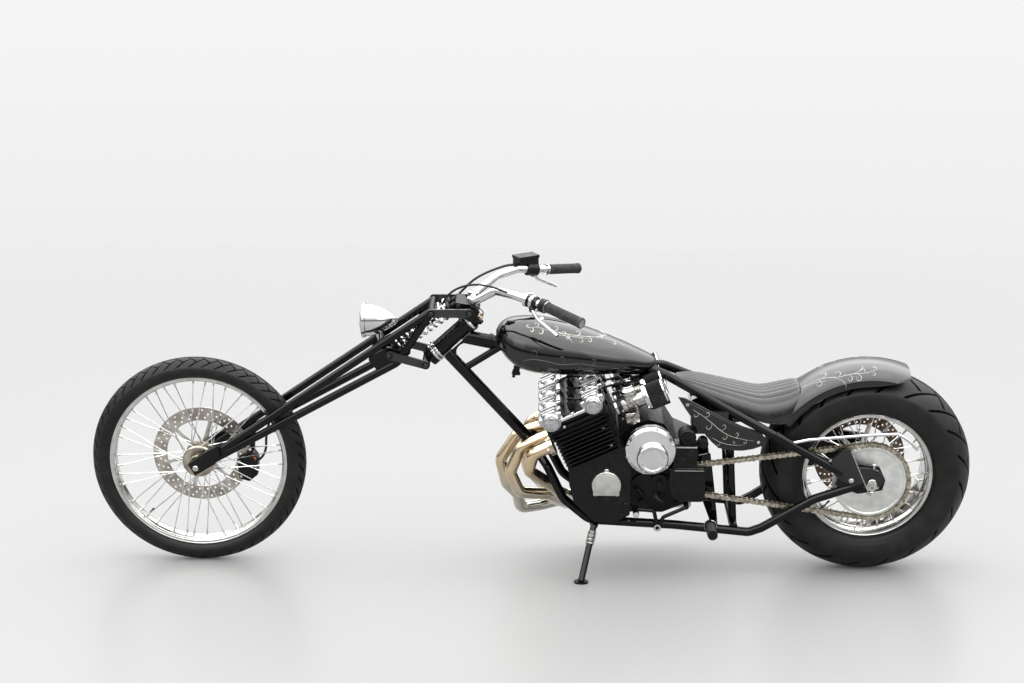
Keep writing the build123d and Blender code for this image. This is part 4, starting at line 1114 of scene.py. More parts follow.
def spun(centre: Point, count: int, offset: float = 0.0) -> list[Matrix]:
    """Return the turns that repeat a shape evenly round an axis across the machine.

    Args:
        centre: A point on the axis.
        count: The number of copies.
        offset: The first copy's turn in degrees.

    Returns:
        One matrix for each copy.
    """
    there, back = Matrix.Translation(Vector(centre)), Matrix.Translation(-Vector(centre))
    return [
        there @ Matrix.Rotation(math.radians(offset) + 2 * math.pi * number / count, 4, "Y") @ back
        for number in range(count)
    ]


@dataclass
class WireWheel:
    """A wire wheel: tyre, rim, spokes, hub and drilled brake disc."""

    name: str
    body: Body
    axle: Vector
    tyre_radius: float
    tyre_half: float
    crown: float
    tread_half: float
    flange: float
    flange_half: float
    hub_half: float
    barrel: float
    hub_flange: float
    hub_side: float
    disc_radius: float
    disc_inner: float
    disc_carrier: float
    tread_pitch: int
    tread_slant: float
    tread_dash: float
    disc_name: str
    hub_finish: Finish = HUB_ALLOY
    disc_colour: tuple[float, float, float] = (0.48, 0.46, 0.42)
    disc_stain: tuple[float, float, float] = (0.30, 0.27, 0.23)
    bead_drop: float = 10.0
    well_drop: float = 8.0
    spokes_a_side: int = 20
    spoke_radius: float = 1.7
    spoke_sweep: float = 38.0
    disc_wall: float = 4.0
    arms: int = 6
    disc_hole: float = 3.4
    holes_a_row: int = 30
    valve_turn: float = -48.0

    def mirrored_profile(self, half: Profile) -> list[tuple[float, float]]:
        """Return a wheel's closed profile as radius and height, from its left half as y and radius."""
        right = [(radius, -y) for y, radius in reversed(half)]
        return [(radius, y) for y, radius in half] + right

    def tyre(self) -> None:
        """Build the tyre, whose crown is flat where it stands on the floor."""
        r, crown = self.tyre_radius, self.crown
        last = math.asin(self.tread_half / crown)
        turns = [LEAN + (last - LEAN) * step / 5 for step in range(6)]
        bow = [(crown * math.sin(turn), r - crown + crown * math.cos(turn)) for turn in turns]
        shoulder = bow[-1]
        belly = self.flange + 0.45 * (shoulder[1] - self.flange)
        waist = self.flange_half + 0.45 * (self.tyre_half - self.flange_half)
        wall = smooth_line([
            (*shoulder, 0), (self.tyre_half - 2, 0.35 * belly + 0.65 * shoulder[1], 0),
            (self.tyre_half, belly, 0), (waist, self.flange + 5, 0),
            (self.flange_half - 0.5, self.flange + 0.6, 0),
        ])
        half = bow[:-1] + [(point.x, point.y) for point in wall]
        half += [(self.flange_half - 3.5, self.flange + 0.5),
                 (self.flange_half - 3.5, self.flange - self.bead_drop + 0.5)]
        finish = TyreRubber(
            f"{self.name}_tyre_rubber", tuple(self.axle), r, self.tyre_half, self.tread_pitch,
            self.tread_slant, self.tread_dash,
        )
        shape = Shape().ringed(self.mirrored_profile(half), self.axle, steps=160)
        shape.piece(f"{self.name}_tyre_body", self.body, finish, Slot.TYRE, [f"{self.name}_tyre"], 50.0)

    def rim(self) -> None:
        """Build the rim with its rolled lips and dropped well, and a valve stem."""
        bead, well = self.flange - self.bead_drop, self.flange - self.bead_drop - self.well_drop
        edge, well_half = self.flange_half, 0.45 * (self.flange_half - 3)
        half = [
            (0.0, well), (well_half, well), (well_half + 3, well + 2.5), (edge - 7, bead - 4.5),
            (edge - 2.5, bead - 3), (edge - 0.4, bead - 1), (edge - 1.4, bead + 3),
            (edge - 1.2, self.flange - 5), (edge, self.flange - 3.4), (edge, self.flange - 1),
            (edge - 1, self.flange), (edge - 3, self.flange - 0.4), (edge - 3.2, bead),
        ]
        shape = Shape().ringed(self.mirrored_profile(half), self.axle, steps=144)
        shape.piece(f"{self.name}_rim", self.body, POLISHED, Slot.RIM, [f"{self.name}_wheel"], 35.0)
        valve = Shape()
        turn = math.radians(self.valve_turn)
        lead = Vector((math.cos(turn), 0.0, math.sin(turn)))
        foot = self.axle + lead * (well + 1)
        valve.turned([(0, 0), (4.2, 0), (4.2, 5), (2.6, 7), (2.6, 24), (3.4, 25), (3.4, 33), (0, 34)], foot,
                     -lead, 12)
        valve.piece(f"{self.name}_valve", self.body, HOSE_RUBBER, Slot.RIM)

    def spokes(self) -> None:
        """Lace the spokes, with a nipple at the rim and a bent head at the hub."""
        well = self.flange - self.bead_drop - self.well_drop
        well_half = 0.45 * (self.flange_half - 3)
        wires, nipples = Shape(), Shape()
        for edge in (-1, 1):
            for number in range(self.spokes_a_side):
                lacing = 1 if number % 2 else -1
                turn = 2 * math.pi * (number + 0.25 * edge) / self.spokes_a_side
                twist = turn + lacing * math.radians(self.spoke_sweep)
                out = Vector((math.cos(turn), 0.0, math.sin(turn)))
                side_y = edge * self.hub_side + lacing * 3.2
                start = self.axle + out * (self.hub_flange - 6) + ACROSS * side_y
                end = self.axle + Vector((math.cos(twist), 0.0, math.sin(twist))) * (well + 2)
                end += ACROSS * edge * 0.6 * well_half
                along = (end - start).normalized()
                wires.swept([start, end], self.spoke_radius, 6)
                wires.turned([(0, 0), (3.4, 0), (3, 2), (0, 2.6)], start - ACROSS * lacing * 0.6,
                             ACROSS * lacing, 8)
                nipples.turned([(2.1, 0), (2.9, 1.5), (3, 11), (4, 13), (4, 18), (0, 19)], end - along * 16,
                               along, 8)
        wires.piece(f"{self.name}_spokes", self.body, SPOKE_STEEL, Slot.RIM)
        nipples.piece(f"{self.name}_nipples", self.body, BOLT_ZINC, Slot.RIM)

    def hub(self) -> None:
        """Build the hub with its drilled spoke flanges and stepped barrel."""
        end, side_y, flange = self.hub_half, self.hub_side, self.hub_flange
        half = [
            (0.0, self.barrel - 3), (side_y - 8, self.barrel - 2), (side_y - 3.4, self.barrel + 5),
            (side_y - 3, flange - 1.5), (side_y - 2, flange), (side_y + 2, flange),
            (side_y + 3, flange - 1.5), (side_y + 3.4, flange - 13), (side_y + 6, self.barrel + 3),
            (end - 2, self.barrel + 1), (end - 0.3, self.barrel - 1), (end - 0.3, 10.3),
        ]
        shape = Shape().ringed(self.mirrored_profile(half), self.axle, steps=64)
        shape.piece(f"{self.name}_hub", self.body, self.hub_finish, Slot.RIM, (), 35.0)
        holes = Shape()
        for edge in (-1, 1):
            face = self.axle + ACROSS * edge * (side_y + 3.45)
            holes.turned([(flange - 16, 0), (flange - 15.5, 0.7), (flange - 14.5, 0.7), (flange - 14, 0)],
                         face, ACROSS * edge, 48)
        holes.piece(f"{self.name}_hub_rings", self.body, BOLT_ZINC, Slot.RIM)
        cap = Shape()
        for edge in (-1, 1):
            cap.ringed([(13, 3.6), (flange * 0.62, 5.4), (flange * 0.86, 5.0), (flange - 1, 3.4),
                        (flange + 1.6, 1.0), (flange + 1.6, -1.4), (flange - 3, -1.4), (flange - 4, 2.4),
                        (13, 2)], self.axle + ACROSS * edge * (side_y + 3.2), ACROSS * edge, 64)
        cap.piece(f"{self.name}_hub_caps", self.body, self.hub_finish, Slot.RIM, (), 32.0)

    def disc(self) -> None:
        """Build the brake disc: a drilled band, a carrier with arms, and the bobbins between them."""
        low = -self.hub_half - self.disc_wall
        y_band = (low + 0.2, -self.hub_half - 0.2)
        centre = tuple(self.axle)
        finish = GroundSteel(f"{self.name}_disc_steel", centre, self.disc_colour, self.disc_stain)
        holes = [(centre[0], centre[2], self.disc_inner)]
        for reach, shift in ((0.22, 0), (0.5, 0.33), (0.78, 0.66)):
            at = self.disc_inner + reach * (self.disc_radius - self.disc_inner)
            for number in range(self.holes_a_row):
                turn = 2 * math.pi * (number + shift) / self.holes_a_row
                x, z = centre[0] + at * math.cos(turn), centre[2] + at * math.sin(turn)
                holes.append((x, z, self.disc_hole))
        band = Shape().round_plate(centre, self.disc_radius, *y_band, holes)
        band.piece(self.disc_name + "_band", self.body, finish, Slot.DISC, [self.disc_name], 30.0)
        carrier = Shape()
        ring_holes = [(centre[0], centre[2], 12.3)]
        for number in range(self.arms):
            turn = 2 * math.pi * (number + 0.5) / self.arms
            reach = self.disc_carrier - 7
            ring_holes.append((centre[0] + reach * math.cos(turn), centre[2] + reach * math.sin(turn), 3.0))
        carrier.round_plate(centre, self.disc_carrier, *y_band, ring_holes)
        arm = Shape()
        reach, tip = self.disc_carrier - 4, self.disc_inner + 4
        outline = [(reach, -9), (tip - 14, -6), (tip, -8), (tip, 8), (tip - 14, 6), (reach, 9)]
        arm.slab([(centre[0] + x, centre[2] + z) for x, z in outline], low + 0.5, -self.hub_half - 0.5, 0.8)
        arm.repeated(spun(centre, self.arms, 15))
        carrier.take(arm.bm)
        carrier.piece(self.disc_name + "_carrier", self.body, SATIN_ALLOY, Slot.DISC)
        bobbin = Shape()
        at = self.axle + Vector((self.disc_inner + 1, low - 1.2, 0))
        bobbin.turned([(0, 0.2), (3, 0.2), (3.4, 1.2), (7, 1.2), (7, 2), (7, 5), (7, 5.4), (3.4, 6.4),
                       (0, 6.4)], at, ACROSS, 14)
        bobbin.repeated(spun(centre, self.arms, 15))
        bobbin.piece(self.disc_name + "_bobbins", self.body, BOLT_ZINC, Slot.DISC)
        bolts = Shape()
        bolts.domed(self.axle + Vector((self.disc_carrier - 7, low + 0.2, 0)), -ACROSS, 5.0, 3.6)
        bolts.repeated(spun(centre, self.arms, 30))
        bolts.piece(self.disc_name + "_bolts", self.body, BOLT_ZINC, Slot.DISC)

    def build(self) -> None:
        """Build the whole wheel."""
        self.tyre()
        self.rim()
        self.spokes()
        self.hub()
        self.disc()


@dataclass
class ChainDrive:
    """The rear sprocket and the roller chain, which is one fixed loop."""

    links: int = 104
    pitch: float = 15.875
    rear_teeth: int = 48
    front_teeth: int = 17
    middle_y: float = 119.0
    plate_half: float = 7.3
    plate_wall: float = 1.6
    roller: float = 5.0

    def radius(self, teeth: int) -> float:
        """Return the pitch radius of a sprocket."""
        return self.pitch / (2 * math.sin(math.pi / teeth))

    def drive_centre(self) -> tuple[float, float]:
        """Return the x and z of the front sprocket's middle."""
        span = self.links - (self.rear_teeth + self.front_teeth) / 2
        reach = span * self.pitch / 2
        reach -= ((self.rear_teeth - self.front_teeth) / (2 * math.pi)) ** 2 * self.pitch / span
        return reach, REAR_AXLE.z + 2.0

    def places(self) -> list[Matrix]:
        """Return the place and heading of each link along the loop."""
        x, z = self.drive_centre()
        rear, front = self.radius(self.rear_teeth), self.radius(self.front_teeth)
        span = math.hypot(x, z - REAR_AXLE.z)
        dip, slope = math.asin((rear - front) / span), math.atan2(z - REAR_AXLE.z, x)
        straight = span * math.cos(dip)
        wraps = (
            ((x, z), front, math.pi - 2 * dip, slope + math.pi / 2 - dip),
            ((REAR_AXLE.x, REAR_AXLE.z), rear, math.pi + 2 * dip, slope - math.pi / 2 + dip),
        )
        length = sum(straight + radius * wrap for _, radius, wrap, _ in wraps)
        found = []
        for number in range(self.links):
            run = (number + 0.5) * length / self.links
            for centre, radius, wrap, normal in wraps:
                if 0 <= run < straight:
                    back = straight - run
                    at = (centre[0] + radius * math.cos(normal) - back * math.sin(normal),
                          centre[1] + radius * math.sin(normal) + back * math.cos(normal))
                    found.append((at, normal - math.pi / 2))
                    break
                run -= straight
                if 0 <= run < wrap * radius:
                    turn = normal - run / radius
                    at = (centre[0] + radius * math.cos(turn), centre[1] + radius * math.sin(turn))
                    found.append((at, turn - math.pi / 2))
                    break
                run -= wrap * radius
        return [
            Matrix.Translation((at[0], 0.0, at[1])) @ Matrix.Rotation(-heading, 4, "Y")
            for at, heading in found
        ]

    def chain(self) -> None:
        """Build the links in turn, wide then narrow, with a roller in each and pins through them."""
        places = self.places()
        half, waist, reach = self.plate_half, 5.0, self.pitch / 2
        outline = [
            (-reach - 5.2, -half * 0.62), (-reach, -half), (0, -waist), (reach, -half),
            (reach + 5.2, -half * 0.62), (reach + 5.2, half * 0.62), (reach, half), (0, waist),
            (-reach, half), (-reach - 5.2, half * 0.62),
        ]
        for name, wide, every in (("outer", 10.6, places[0::2]), ("inner", 8.2, places[1::2])):
            link = Shape()
            for edge in (-1, 1):
                y = self.middle_y + edge * (wide - self.plate_wall / 2)
                link.slab(outline, y - self.plate_wall / 2, y + self.plate_wall / 2)
            for end in (-reach, reach):
                if name == "outer":
                    link.turned([(0, 0), (2.6, 0), (2.6, 21.8), (0, 22)], (end, self.middle_y - 11.0, 0),
                                ACROSS, 8)
                else:
                    link.turned([(0, 0), (self.roller, 0), (self.roller, 13.0), (0, 13)],
                                (end, self.middle_y - 6.5, 0), ACROSS, 10)
            link.repeated(every)
            replaced = ["chain"] if name == "outer" else []
            link.piece(f"chain_{name}_links", Body.CHASSIS, CHAIN_BRASS, Slot.CHAIN, replaced)

    def sprocket(self) -> None:
        """Build the polished rear sprocket with its raised middle and its bolts."""
        outer = self.radius(self.rear_teeth) - self.roller - 1.0
        at = REAR_AXLE + ACROSS * 108.0
        profile = [
            (12.2, 0.2), (48, 0.2), (48, 7.4), (outer, 7.4), (outer, 12.6), (outer - 1.4, 14.4),
            (outer - 9, 14.6), (outer - 11, 13.4), (52, 13.4), (50, 14.4), (28, 14.4), (26, 13.6),
            (12.2, 13.6),
        ]
        shape = Shape().ringed(profile, at, steps=96)
        shape.piece("rear_sprocket_disc", Body.REAR_WHEEL, SPROCKET_STEEL, Slot.RIM, ["rear_sprocket"], 30.0)
        bolt = Shape().hexagon(REAR_AXLE + Vector((39, 122.2, 0)), ACROSS, 6.5, 5.0, 8.5)
        bolt.repeated(spun(REAR_AXLE, 5, 20))
        bolt.piece("rear_sprocket_bolts", Body.REAR_WHEEL, BOLT_ZINC, Slot.RIM)

    def build(self) -> None:
        """Build the drive."""
        self.chain()
        self.sprocket()


@dataclass
class Pinstripe:
    """Hand-drawn vines laid on a painted surface as fine raised lines.

    They are drawn on a sheet that leans over the surface by tilt degrees, in x and the height up that sheet.
    """

    surface: BVHTree
    width: float = 1.7
    tilt: float = 0.0
    sink: float = 0.72

    def curl(self, foot: Point, heading: float, length: float, bend: float) -> list[tuple[float, float]]:
        """Return a line that starts straight and winds up into a curl.

        Args:
            foot: Its start.
            heading: Its first direction in degrees, up from forwards.
            length: Its length.
            bend: How far it turns in all, in degrees.

        Returns:
            Its points.
        """
        x, z = foot
        line = [(x, z)]
        steps = 22
        for step in range(steps):
            share = (step + 0.5) / steps
            angle = math.radians(heading + bend * share**1.7)
            stride = length / steps * (1.3 - 0.6 * share)
            x += stride * math.cos(angle)
            z += stride * math.sin(angle)
            line.append((x, z))
        return line

    def lay(self, shape: Shape, line: Sequence[tuple[float, float]], edge: int, width: float) -> None:
        """Lay one line on the surface.

        Args:
            shape: The shape that it is added to.
            line: Its points on the sheet.
            edge: 1 for the left side and -1 for the right.
            width: Its half width at its middle.
        """
        lean = math.radians(self.tilt)
        out = Vector((0.0, edge * math.cos(lean), math.sin(lean)))
        up = Vector((0.0, -edge * math.sin(lean), math.cos(lean)))
        points, radii = [], []
        for number, (x, height) in enumerate(line):
            hit, normal, _, _ = self.surface.ray_cast(FORWARD * x + up * height + out * 700.0, -out)
            if hit is None or normal.dot(out) < 0.2:
                if len(points) > 3:
                    shape.swept(points, radii, 6)
                points, radii = [], []
                continue
            share = number / (len(line) - 1)
            radius = width * (0.3 + 0.9 * math.sin(math.pi * min(1.0, 0.1 + share * 0.95)))
            points.append(hit - normal * radius * self.sink)
            radii.append(max(0.3, radius))
        if len(points) > 3:
            shape.swept(points, radii, 6)

    def vine(self, shape: Shape, guide: Sequence[tuple[float, float]],
             sprays: Sequence[tuple[float, float, float, float]], width: float = 1.0) -> None:
        """Lay a stem along a guide on both sides, with curls and leaves that leave it.

        Args:
            shape: The shape that it is added to.
            guide: Points on the sheet that the stem runs through.
            sprays: How far along the stem each spray leaves it, its turn, its length and its bend.
            width: A factor on the lines' width.
        """
        stem = [(p.x, p.y) for p in smooth_line([(*point, 0.0) for point in guide], 6)]
        lines = [stem]
        for share, turn, length, bend in sprays:
            at = min(len(stem) - 2, int(share * (len(stem) - 1)))
            heading = math.degrees(math.atan2(stem[at + 1][1] - stem[at][1], stem[at + 1][0] - stem[at][0]))
            lines.append(self.curl(stem[at], heading + turn, length, bend))
        for edge in (1, -1):
            for number, line in enumerate(lines):
                self.lay(shape, line, edge, self.width * width * (1.0 if number == 0 else 0.85))


@dataclass
class FuelTank:
    """The long teardrop tank with its cap, latch, nose clamp, tap and flourishes.

    A section holds its x, underside, widest height, top and half width.
    """

    sections: Sequence[tuple[float, float, float, float, float]] = (
        (1165, 754, 763, 772, 8), (1163, 745, 761, 779, 22), (1152, 719, 750, 796, 50),
        (1130, 692, 734, 811, 84), (1090, 663, 715, 818, 107), (1020, 648, 702, 816, 118),
        (900, 644, 695, 789, 110), (790, 646, 686, 750, 86), (710, 650, 678, 713, 54),
        (682, 654, 674, 699, 38), (668, 660, 672, 688, 22), (664.5, 665, 671, 678, 8),
    )
    sides: int = 64

    def rings(self) -> list[Callable[[float], Point]]:
        """Return the tank's cross sections along a smooth line through the given ones."""
        def ring(x: float, low: float, wide: float, high: float, half: float) -> Callable[[float], Point]:
            """Return one cross section, a little fuller than an ellipse."""
            def point(angle: float) -> Point:
                """Return the point at an angle round the section."""
                c, s = math.cos(angle), math.sin(angle)
                full_c, full_s = abs(c) ** 0.94 * math.copysign(1, c), abs(s) ** 0.94 * math.copysign(1, s)
                return (x, half * full_c, wide + full_s * ((high - wide) if s > 0 else (wide - low)))
            return point
        return [ring(*section) for section in smooth_line(self.sections, 4)]

    def skin(self) -> Shape:
        """Return the tank's skin."""
        return Shape().lofted(self.rings(), self.sides)

    def stripes(self, surface: BVHTree) -> None:
        """Lay the flourishes along the upper flanks, the fainter ones below, and the line round the nose."""
        pen = Pinstripe(surface, 2.5, 40.0)
        bright, faint = Shape(), Shape()
        pen.vine(bright, [(1062, 574), (1034, 577), (1002, 567), (960, 561), (915, 557), (876, 559),
                          (836, 563), (800, 560), (764, 549), (726, 541)],
                 [(0.02, 200, 30, 300), (0.04, 60, 28, 300), (0.10, -50, 36, -320), (0.16, 34, 40, 300),
                  (0.26, -28, 44, -280), (0.30, 12, 60, 60), (0.38, 34, 34, 320), (0.46, -32, 40, -300),
                  (0.55, 24, 38, 280), (0.60, -12, 54, -60), (0.66, -32, 30, -310), (0.78, 24, 28, 290)])
        pen.vine(bright, [(990, 556), (948, 552), (905, 551), (868, 549)],
                 [(0.3, -50, 30, -320), (0.7, 30, 32, 280)], 0.8)
        low = Pinstripe(surface, 1.5, 4.0)
        low.vine(faint, [(1085, 700), (1050, 708), (1005, 702), (960, 692), (905, 694), (850, 684),
                         (800, 680)],
                 [(0.05, 70, 44, 310), (0.2, -60, 50, -300), (0.34, 50, 48, 290), (0.5, -52, 46, -310),
                  (0.66, 48, 40, 300), (0.8, -40, 34, -280)])
        pen = Pinstripe(surface, 1.0)
        rim = [(1150.0 - 3 * abs(step - 6) ** 1.3 * 0.25, 742.0 + 7.5 * (step - 6) * 0.62)
               for step in range(13)]
        for edge in (1, -1):
            pen.lay(faint, rim, edge, 1.0)
        bright.piece("tank_flourishes", Body.CHASSIS, CREAM_LINE, Slot.PAINT)
        faint.piece("tank_ghost_flourishes", Body.CHASSIS, GHOST_LINE, Slot.PAINT)

    def fittings(self) -> None:
        """Add the filler cap, the latch beside it, the nose clamp and the tap under the front."""
        cap, black, bright = Shape(), Shape(), Shape()
        up = Vector((0.03, 0, 1)).normalized()
        cap.turned([(33, -8), (33, 2), (31, 4), (27, 4.6), (25, 4), (22, 7), (0, 8)], (1040, 0, 809), up, 48)
        cap.piece("tank_cap", Body.CHASSIS, CHROME, Slot.CHROME)
        black.block((1119, 30, 811), (26, 16, 9), 2.5)
        black.block((1128, 30, 803), (16, 12, 12), 2.5)
        black.turned([(10, 0), (10, 26), (13, 27), (13, 36), (0, 37)], (1098, 26, 676), (0.1, 0.2, -1), 20)
        black.turned([(0, 0), (9, 0), (9, 14), (5, 15), (5, 24), (0, 25)], (1103, 33, 656), (0.3, 0.1, -1),
                     16)
        black.piece("tank_black_fittings", Body.CHASSIS, SATIN_BLACK, Slot.FRAME)
        bright.ringed([(19.3, 0), (22.5, 0), (23, 3), (22.5, 12), (19.3, 12)], (1176, 0, 739.8),
                      (1, 0, 0.194), 40)
        bright.hexagon((1184, 22, 742), ACROSS, 5.0, 5.0, 7.0)
        bright.piece("tank_nose_clamp", Body.CHASSIS, SATIN_BLACK, Slot.CHROME)

    def build(self) -> None:
        """Build the tank."""
        shape = self.skin()
        surface = BVHTree.FromBMesh(shape.bm)
        shape.piece("fuel_tank_shell", Body.CHASSIS, GLOSS_BLACK, Slot.PAINT, ["fuel_tank"], 60.0)
        self.stripes(surface)
        self.fittings()


@dataclass
class Saddle:
    """The low tuck-and-roll seat. A section holds its x, top, edge height, half width and thickness."""

    sections: Sequence[tuple[float, float, float, float, float]] = (
        (604, 634, 629, 20, 12), (596, 637, 627, 36, 17), (540, 634, 606, 78, 24),
        (480, 621, 582, 95, 28), (420, 608, 556, 108, 30), (340, 594, 526, 116, 30),
        (270, 609, 520, 112, 30), (228, 618, 548, 92, 27), (217, 612, 566, 74, 22),
    )
    rolls: int = 9
    roll_height: float = 8.5
    sides: int = 192

    def ring(self, x: float, high: float, edge: float, half: float,
             thick: float) -> Callable[[float], Point]:
        """Return one cross section, with a sewn channel between each two rolls."""
        def point(angle: float) -> Point:
            """Return the point at an angle round the section."""
            c, s = math.cos(angle), math.sin(angle)
            crown = math.sqrt(max(0.0, 1 - abs(c) ** 2.6))
            if s >= 0:
                phase = (c * 0.5 + 0.5) * self.rolls
                roll = abs(math.sin(math.pi * phase)) ** 0.5
                fade = min(1.0, max(0.0, (608.0 - x) / 40)) * min(1.0, max(0.0, (x - 214.0) / 30))
                lift = (roll - 1) * self.roll_height * fade * min(1.0, crown * 2)
                return (x, half * c, edge + (high - edge) * crown ** 0.9 + lift)
            return (x, (half - 5) * c, edge + (high - thick - edge) * crown - 4 * min(1.0, 4 * (1 - abs(c))))
        return point

    def build(self) -> None:
        """Build the seat, the seams between its rolls, drawn as near-black cords that paint shade into the
        channels, and the welt along its edges.
        """
        rings = [self.ring(*section) for section in smooth_line(self.sections, 6)]
        shape = Shape().lofted(rings, self.sides)
        made = shape.piece("seat_cushion", Body.CHASSIS, LEATHER, Slot.SEAT, ["seat"], 80.0)
        # The seams are near-black cords laid along the channels between the rolls: painted shade in the
        # channels.
        seam_shade_cords = Shape()
        inner = [self.ring(*section) for section in smooth_line(self.sections[1:-1], 6)]
        for number in range(1, self.rolls):
            angle = math.acos(2.0 * number / self.rolls - 1.0)
            seam_shade_cords.swept([Vector(ring(angle)) + UP * 0.3 for ring in inner], 1.9, 6)
        seam_shade_cords.piece("seat_seam_shade", Body.CHASSIS, SEAM_SHADE_BLACK, Slot.SEAT)
        welt = Shape()
        for turn in (-1, 1):
            line = [(s[0], turn * (s[3] - 2.0), s[2] - 3.0) for s in smooth_line(self.sections[1:-1], 6)]
            welt.swept(line, 3.0, 8)
        welt.piece("seat_welt", Body.CHASSIS, LEATHER, Slot.SEAT)


@dataclass
class RearFender:
    """The rear fender with its rolled edges and its flourishes."""

    radius: float = 356.6
    half: float = 105.6
    wall: float = 3.0
    front: float = 56.0
    sweep: float = 75.6

    def outline(self) -> list[tuple[float, float]]:
        """Return the outer half of its cross section, from the crown to the skirt, as y and radius."""
        crown = [(0.0, self.radius), (0.22 * self.half, self.radius - 1),
                 (0.45 * self.half, self.radius - 4.6), (0.66 * self.half, self.radius - 10),
                 (0.84 * self.half, self.radius - 18.4), (0.95 * self.half, self.radius - 27),
                 (self.half, self.radius - 36), (self.half, self.radius - 50)]
        return [(point.x, point.y) for point in smooth_line([(*p, 0.0) for p in crown], 3)]

    def skin(self) -> Shape:
        """Return the fender's shell."""
        outer = self.outline()
        inner = [(max(0.0, y - self.wall * 0.8), r - self.wall * 0.9) for y, r in outer[:-1]]
        inner.append((outer[-1][0] - self.wall, outer[-1][1]))
        whole = [(-y, r) for y, r in reversed(outer)] + outer[1:] + inner[::-1]
        whole += [(-y, r) for y, r in inner[1:]]
        shape = Shape().arched(whole, REAR_AXLE, self.front, self.sweep, 72)
        for vertex in shape.bm.verts:
            x, z = vertex.co.x - REAR_AXLE.x, vertex.co.z - REAR_AXLE.z
            radius, angle = math.hypot(x, z), math.degrees(math.atan2(x, z))
            lowest = self.hem(angle)[1]
            if radius < lowest:
                side = abs(vertex.co.y) / self.half * self.hem(angle)[0]
                vertex.co = Vector((REAR_AXLE.x + x * lowest / radius, math.copysign(side, vertex.co.y),
                                    REAR_AXLE.z + z * lowest / radius))
        bmesh.ops.remove_doubles(shape.bm, verts=shape.bm.verts, dist=0.02)
        return shape

    def hem(self, angle: float) -> tuple[float, float]:
        """Return the half width and radius of the skirt's edge at an angle back from upright, in degrees."""
        rise = max(0.0, (2.0 - angle) / 24.0) ** 1.9
        radius = self.radius - 50.0 + 44.0 * rise
        outline = self.outline()
        for (y0, r0), (y1, r1) in zip(outline, outline[1:]):
            if r1 <= radius <= r0:
                return y0 + (y1 - y0) * (r0 - radius) / max(1e-6, r0 - r1), radius
        return outline[-1]

    def build(self) -> None:
        """Build the fender's shell, the beads along its edges and its flourishes."""
        shape = self.skin()
        surface = BVHTree.FromBMesh(shape.bm)
        shape.piece("rear_fender_shell", Body.CHASSIS, GLOSS_BLACK, Slot.PAINT, ["rear_fender"], 45.0)
        beads = Shape()
        for turn in (-1, 1):
            line = [
                REAR_AXLE + ACROSS * turn * (self.hem(a)[0] - 1.6)
                + Vector((math.sin(math.radians(a)), 0, math.cos(math.radians(a)))) * (self.hem(a)[1] - 0.4)
                for a in [self.front - self.sweep * step / 48 for step in range(49)]
            ]
            beads.swept(line, 2.3, 8)
        beads.piece("rear_fender_beads", Body.CHASSIS, GLOSS_BLACK, Slot.PAINT)
        pen = Pinstripe(surface, tilt=45.0)
        bright, faint = Shape(), Shape()
        pen.vine(bright, [(214, 400), (172, 417), (140, 415), (108, 411), (74, 417), (49, 418), (23, 420),
                          (-4, 432), (-28, 447)],
                 [(0.02, 12, 70, 40), (0.14, 40, 54, 290), (0.20, -38, 50, -290), (0.30, 14, 64, 70),
                  (0.38, -46, 48, -300), (0.48, 44, 46, 310), (0.56, -20, 56, -90), (0.64, 50, 52, 330),
                  (0.72, -48, 38, -310), (0.82, 42, 34, 300), (0.9, -40, 28, -300)])
        pen.vine(faint, [(196, 398), (150, 404), (100, 402), (52, 407), (6, 414)],
                 [(0.2, 30, 48, 280), (0.5, -34, 44, -280), (0.75, 36, 36, 290)], 0.9)
        bright.piece("fender_flourishes", Body.CHASSIS, CREAM_LINE, Slot.PAINT)
        faint.piece("fender_ghost_flourishes", Body.CHASSIS, GHOST_LINE, Slot.PAINT)


@dataclass
class SidePanel:
    """The leaf-shaped panels under the seat, and the electrics box between them."""

    y: float = 130.6
    wall: float = 5.4
    edge: Sequence[tuple[float, float]] = (
        (604, 606), (584, 604), (552, 588), (500, 560), (440, 530), (400, 512),
        (362, 500), (342, 490), (332, 474), (333, 462), (340, 448), (367, 438),
        (400, 432), (437, 433), (474, 440), (496, 460), (512, 478), (526, 496),
        (545, 520), (575, 560),
    )

    def build(self) -> None:
        """Build the panels with their raised faces, flourishes and bolts."""
        shape = Shape()
        shape.slab(self.edge, self.y - self.wall, self.y, 2.2, 3)
        inner = [(455.0 + (x - 455.0) * 0.86, 505.0 + (z - 505.0) * 0.82) for x, z in self.edge]
        shape.slab(inner, self.y - 1.0, self.y + 2.4, 2.0, 3)
        shape.mirrored()
        surface = BVHTree.FromBMesh(shape.bm)
        shape.block((500, 0, 520), (110, 243, 76), 4.0)
        shape.piece("side_panel_leaves", Body.CHASSIS, GLOSS_BLACK, Slot.PAINT, ["side_panels"], 40.0)
        pen = Pinstripe(surface, 1.3)
        bright = Shape()
        pen.vine(bright, [(556, 566), (524, 545), (498, 524), (470, 500), (440, 482), (404, 472),
                          (366, 466)],
                 [(0.1, 60, 30, 300), (0.22, -50, 36, -310), (0.36, 40, 44, 300), (0.5, -44, 40, -300),
                  (0.62, 46, 34, 310), (0.76, -44, 30, -300), (0.9, 50, 22, 300)])
        pen.vine(bright, [(500, 478), (466, 460), (430, 452), (392, 453)],
                 [(0.3, 44, 26, 300), (0.7, -40, 22, -300)], 0.7)
        bright.piece("side_panel_flourishes", Body.CHASSIS, CREAM_LINE, Slot.PAINT)
        bolts = Shape()
        for x, z in ((574, 582), (352, 462)):
            bolts.domed((x, self.y + 0.4, z), ACROSS, 5.0, 3.4)
        bolts.mirrored()
        bolts.piece("side_panel_bolts", Body.CHASSIS, CHROME, Slot.CHROME)


